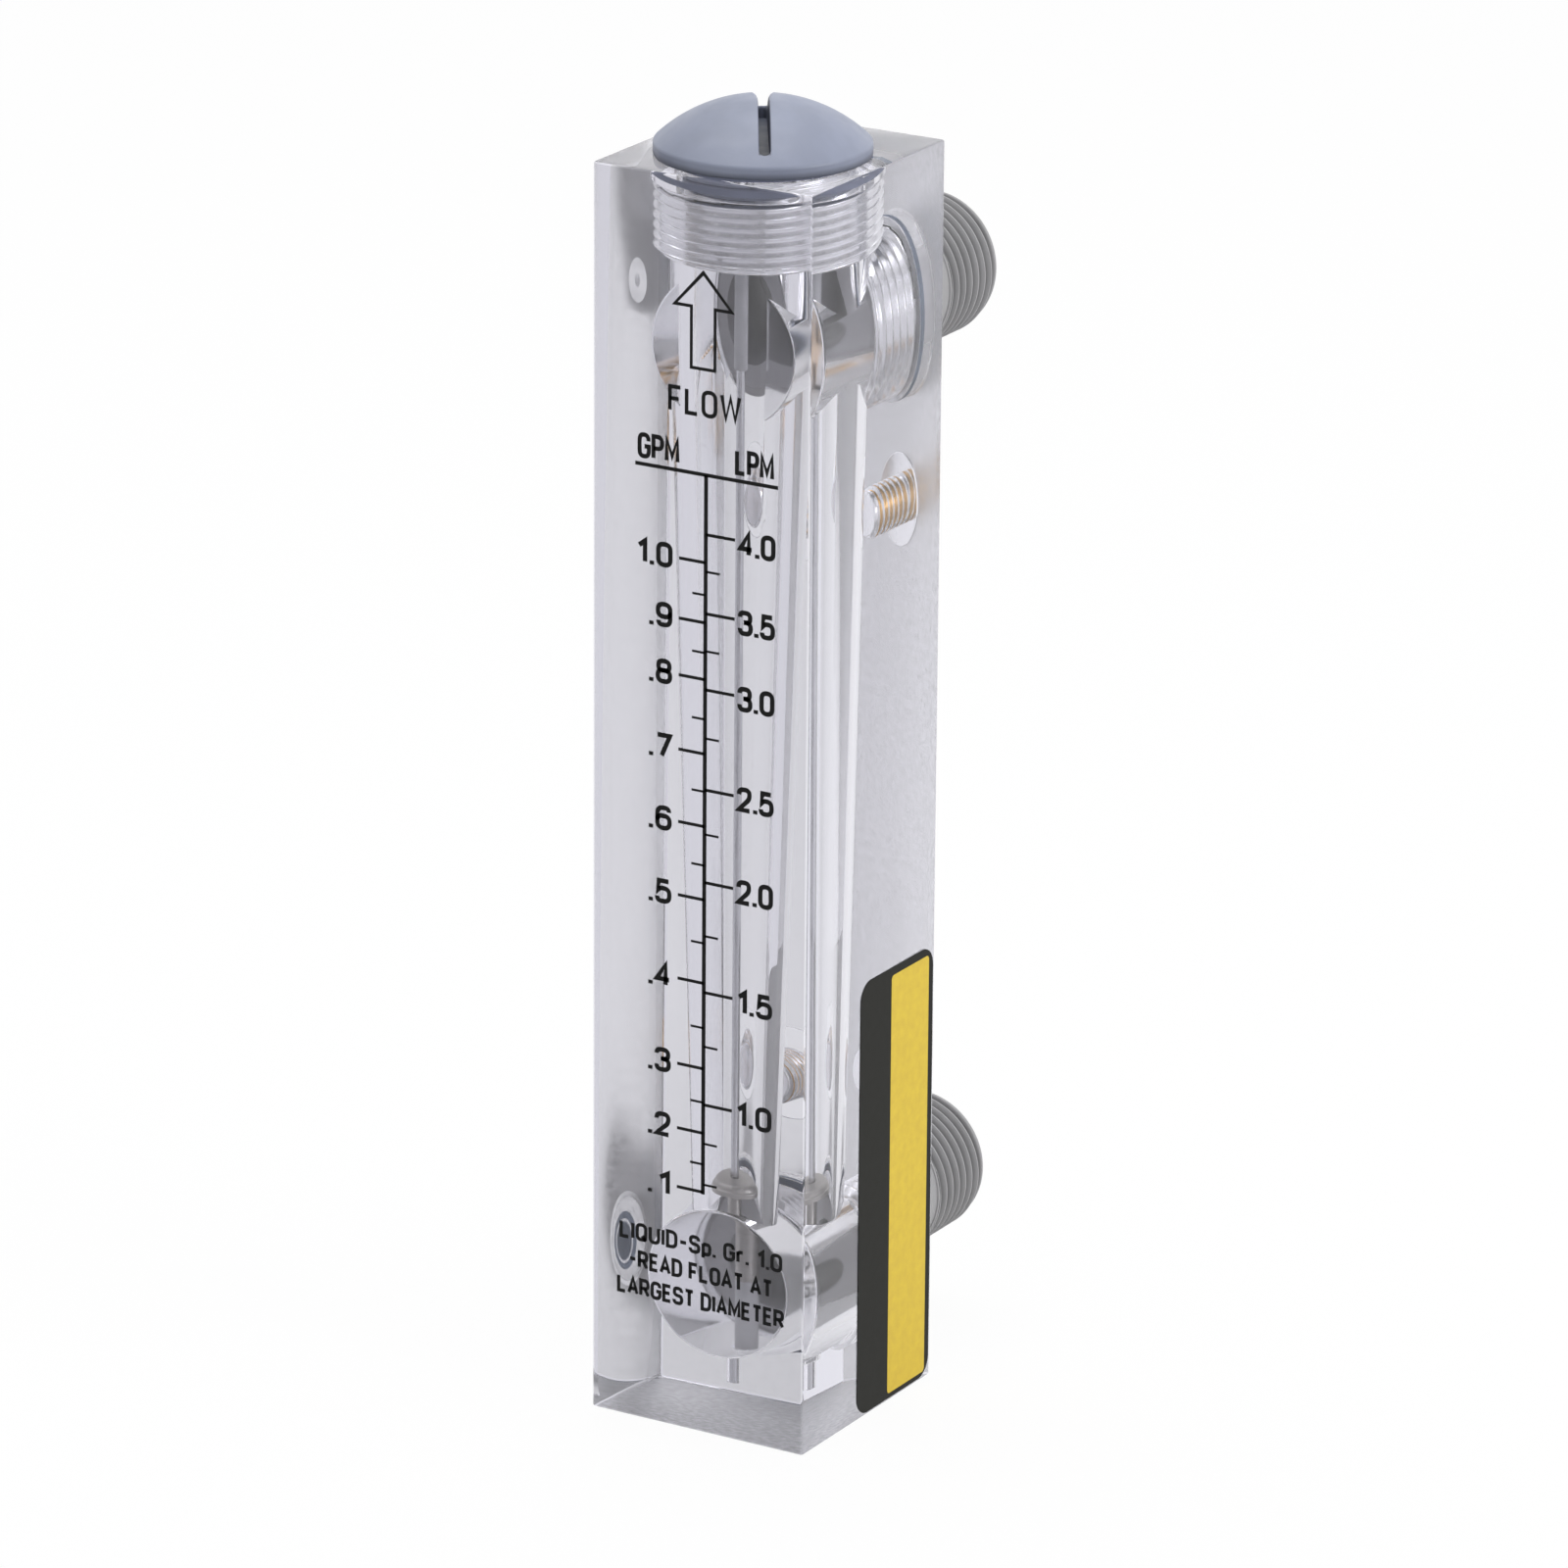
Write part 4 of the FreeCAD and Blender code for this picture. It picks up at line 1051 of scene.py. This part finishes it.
def sticker_outline(low, high, corner, steps=10):
    """A rectangle with round corners in y and z: arcs of 90 degrees round the four corner centres."""
    bend = np.linspace(0, np.pi / 2, steps)
    parts = []
    corners = [(high[0], high[1]), (low[0], high[1]), (low[0], low[1]), (high[0], low[1])]
    for quarter, (y, z) in enumerate(corners):
        angle = bend + quarter * np.pi / 2
        inward = np.array([-1 if y == high[0] else 1, -1 if z == high[1] else 1])
        centre = np.array([y, z]) + corner * inward
        parts.append(centre + corner * np.stack([np.cos(angle), np.sin(angle)], 1))
    return np.concatenate(parts)


def sticker(name, low, high, corner, inner, outer):
    """A thin plate: its outline at the back, at the front edge and, drawn in a little, at the face."""
    edge = sticker_outline(low, high, corner)
    centre = (np.array(low) + np.array(high)) / 2
    soft_edge = 0.03
    away = (edge - centre) / np.linalg.norm(edge - centre, axis=1, keepdims=True)
    rings = [(centre + 0 * edge, inner), (edge, inner), (edge, outer - soft_edge),
             (edge - away * soft_edge, outer), (centre + 0 * edge, outer)]
    points = np.stack([np.insert(ring, 0, x, 1) for ring, x in rings])
    points = np.concatenate([points, points[:, :1]], 1)
    mesh = mesh_from(name, points, grid_faces(*points.shape[:2]))
    return shown(name, mesh)


FILM_CORNER, PANEL_CORNER = 2.9, 0.65
PANEL_SIDE, PANEL_FOOT, PANEL_EDGE = 8.4, 0.73, 1.2


def side_sticker():
    """Charcoal film with a yellow panel; both are left blank."""
    face = label_high[0]
    film = sticker("label_film", label_low[1:], label_high[1:], FILM_CORNER, block_high[0] - 0.03,
                   face - 0.02)
    finish(film, LABEL_DARK, "meter", ["side_label"])
    film.data.materials.append(LABEL_BACK)
    middle = np.empty(len(film.data.polygons) * 3)
    film.data.polygons.foreach_get("center", middle)
    film.data.polygons.foreach_set("material_index", (middle[::3] < block_high[0] / MM).astype(np.int32))
    panel_low = (label_low[1] + PANEL_SIDE, label_low[2] + PANEL_FOOT)
    panel_high = (label_high[1] - PANEL_EDGE, label_high[2] - PANEL_EDGE)
    panel = sticker("label_panel", panel_low, panel_high, PANEL_CORNER, face - 0.05, face)
    finish(panel, LABEL_YELLOW, "meter")


# ---- stage, light and camera ----

WORLD_LIGHT = 0.30
FLOOR_PAINT, FLOOR_GLOW, FLOOR_SHARE = 0.80, 1.03, 0.92
FLOOR_HALF, FLOOR_DROP = 4000.0, 0.05
EYE_LENS, EYE_DISTANCE, EYE_SHIFT = 212.4, 1.2867, 0.00255
EYE_AZIMUTH, EYE_RISE, EYE_ROLL = math.radians(30.73), math.radians(18.7), math.radians(0.43)


def white_for_sight(tree):
    """A factor that is 1 for camera, glossy and transmission rays."""
    path = tree.nodes.new("ShaderNodeLightPath")
    total = path.outputs["Is Camera Ray"]
    for kind in ("Is Glossy Ray", "Is Transmission Ray"):
        either = tree.nodes.new("ShaderNodeMath")
        either.operation = "MAXIMUM"
        tree.links.new(total, either.inputs[0])
        tree.links.new(path.outputs[kind], either.inputs[1])
        total = either.outputs[0]
    return total


def studio_world():
    """White for sight lines, and a softer even light on the object."""
    world = bpy.data.worlds.new("studio")
    bpy.context.scene.world = world
    world.use_nodes = True
    tree = world.node_tree
    tree.nodes.clear()
    output = tree.nodes.new("ShaderNodeOutputWorld")
    seen = tree.nodes.new("ShaderNodeBackground")
    light = tree.nodes.new("ShaderNodeBackground")
    mix = tree.nodes.new("ShaderNodeMixShader")
    light.inputs["Color"].default_value = (0.97, 0.98, 1.0, 1.0)
    light.inputs["Strength"].default_value = WORLD_LIGHT
    seen.inputs["Color"].default_value = (1, 1, 1, 1)
    seen.inputs["Strength"].default_value = 1.0
    tree.links.new(white_for_sight(tree), mix.inputs[0])
    tree.links.new(light.outputs[0], mix.inputs[1])
    tree.links.new(seen.outputs[0], mix.inputs[2])
    tree.links.new(mix.outputs[0], output.inputs["Surface"])


def pale_floor():
    """A wide pale floor that shows white but keeps the object's shadow."""
    half = FLOOR_HALF
    level = block_low[2] - FLOOR_DROP
    corners = [(-half, -half, level), (half, -half, level), (half, half, level), (-half, half, level)]
    mesh = plain_mesh("floor", np.array(corners), np.array([[0, 1, 2, 3]]))
    mesh.transform(Matrix.Scale(1 / MM, 4))
    floor = shown("floor", mesh)
    material = bpy.data.materials.new("floor")
    material.use_nodes = True
    tree = material.node_tree
    tree.nodes.clear()
    output = tree.nodes.new("ShaderNodeOutputMaterial")
    paint = tree.nodes.new("ShaderNodeBsdfDiffuse")
    paint.inputs["Color"].default_value = (FLOOR_PAINT, FLOOR_PAINT, FLOOR_PAINT, 1)
    glow = tree.nodes.new("ShaderNodeEmission")
    glow.inputs["Strength"].default_value = FLOOR_GLOW
    part = tree.nodes.new("ShaderNodeMath")
    part.operation = "MULTIPLY"
    part.inputs[1].default_value = FLOOR_SHARE
    tree.links.new(white_for_sight(tree), part.inputs[0])
    mix = tree.nodes.new("ShaderNodeMixShader")
    tree.links.new(part.outputs[0], mix.inputs[0])
    tree.links.new(paint.outputs[0], mix.inputs[1])
    tree.links.new(glow.outputs[0], mix.inputs[2])
    tree.links.new(mix.outputs[0], output.inputs["Surface"])
    mesh.materials.append(material)


def soft_light(name, place, aim, size, power):
    """A large square lamp that faces a point."""
    lamp = bpy.data.lights.new(name, "AREA")
    lamp.shape = "SQUARE"
    lamp.size = size
    lamp.energy = power
    holder = bpy.data.objects.new(name, lamp)
    bpy.context.scene.collection.objects.link(holder)
    holder.location = place
    holder.rotation_euler = (Vector(aim) - Vector(place)).to_track_quat("-Z", "Y").to_euler()


def eye():
    """The camera, turned by its own right, up and forward directions."""
    camera = bpy.data.cameras.new("camera")
    camera.lens = EYE_LENS
    camera.sensor_width = 36.0
    camera.clip_start = 0.01
    camera.clip_end = 50.0
    holder = bpy.data.objects.new("camera", camera)
    bpy.context.scene.collection.objects.link(holder)
    away = math.cos(EYE_RISE)
    back = Vector((math.sin(EYE_AZIMUTH) * away, -math.cos(EYE_AZIMUTH) * away, math.sin(EYE_RISE)))
    level = (-back).cross(Vector((0, 0, 1))).normalized()
    upright = level.cross(-back)
    right = level * math.cos(EYE_ROLL) + upright * math.sin(EYE_ROLL)
    up = upright * math.cos(EYE_ROLL) - level * math.sin(EYE_ROLL)
    target = Vector((0, 0, (block_low[2] + block_high[2]) / 2 / MM)) + right * EYE_SHIFT
    turn = Matrix((right, up, back)).transposed().to_4x4()
    holder.matrix_world = Matrix.Translation(target + back * EYE_DISTANCE) @ turn
    bpy.context.scene.camera = holder


# ---- the scene ----

acrylic_block()
slotted_plug()
connector("inlet_fitting", "inlet_connector")
connector("outlet_fitting", "outlet_connector")
float_on_rod()
brass_insert("lower_brass", "lower_insert")
brass_insert("upper_brass", "upper_insert")
dress("guide_rod", ROD_STEEL)
dress("lower_stop", SLEEVE_PLASTIC)
dress("upper_stop", SLEEVE_PLASTIC)
pressed_seal("plug_ring", "plug_seal", "z", SEAL_GROOVE + SEAL_GAP, PLUG_RECESS_RADIUS + SEAL_PRESS,
             RING_SLATE)
pressed_seal("inlet_ring", "inlet_seal", "y", PORT_GROOVE, PORT_RECESS_RADIUS + SEAL_PRESS,
             SEAL_RUBBER)
pressed_seal("outlet_ring", "outlet_seal", "y", PORT_GROOVE, PORT_RECESS_RADIUS + SEAL_PRESS,
             SEAL_RUBBER)
printed_scale()
side_sticker()

studio_world()
pale_floor()
soft_light("overhead", place=(-0.25, 0.15, 1.3), aim=(0, 0, 0.12), size=1.1, power=8)
soft_light("right", place=(1.5, 0.1, 0.75), aim=(0, 0, 0.1), size=0.9, power=10)
eye()

scene = bpy.context.scene
scene.view_settings.view_transform = "Standard"
scene.cycles.max_bounces = 32
scene.cycles.transmission_bounces = 32
scene.cycles.glossy_bounces = 16
scene.cycles.diffuse_bounces = 4
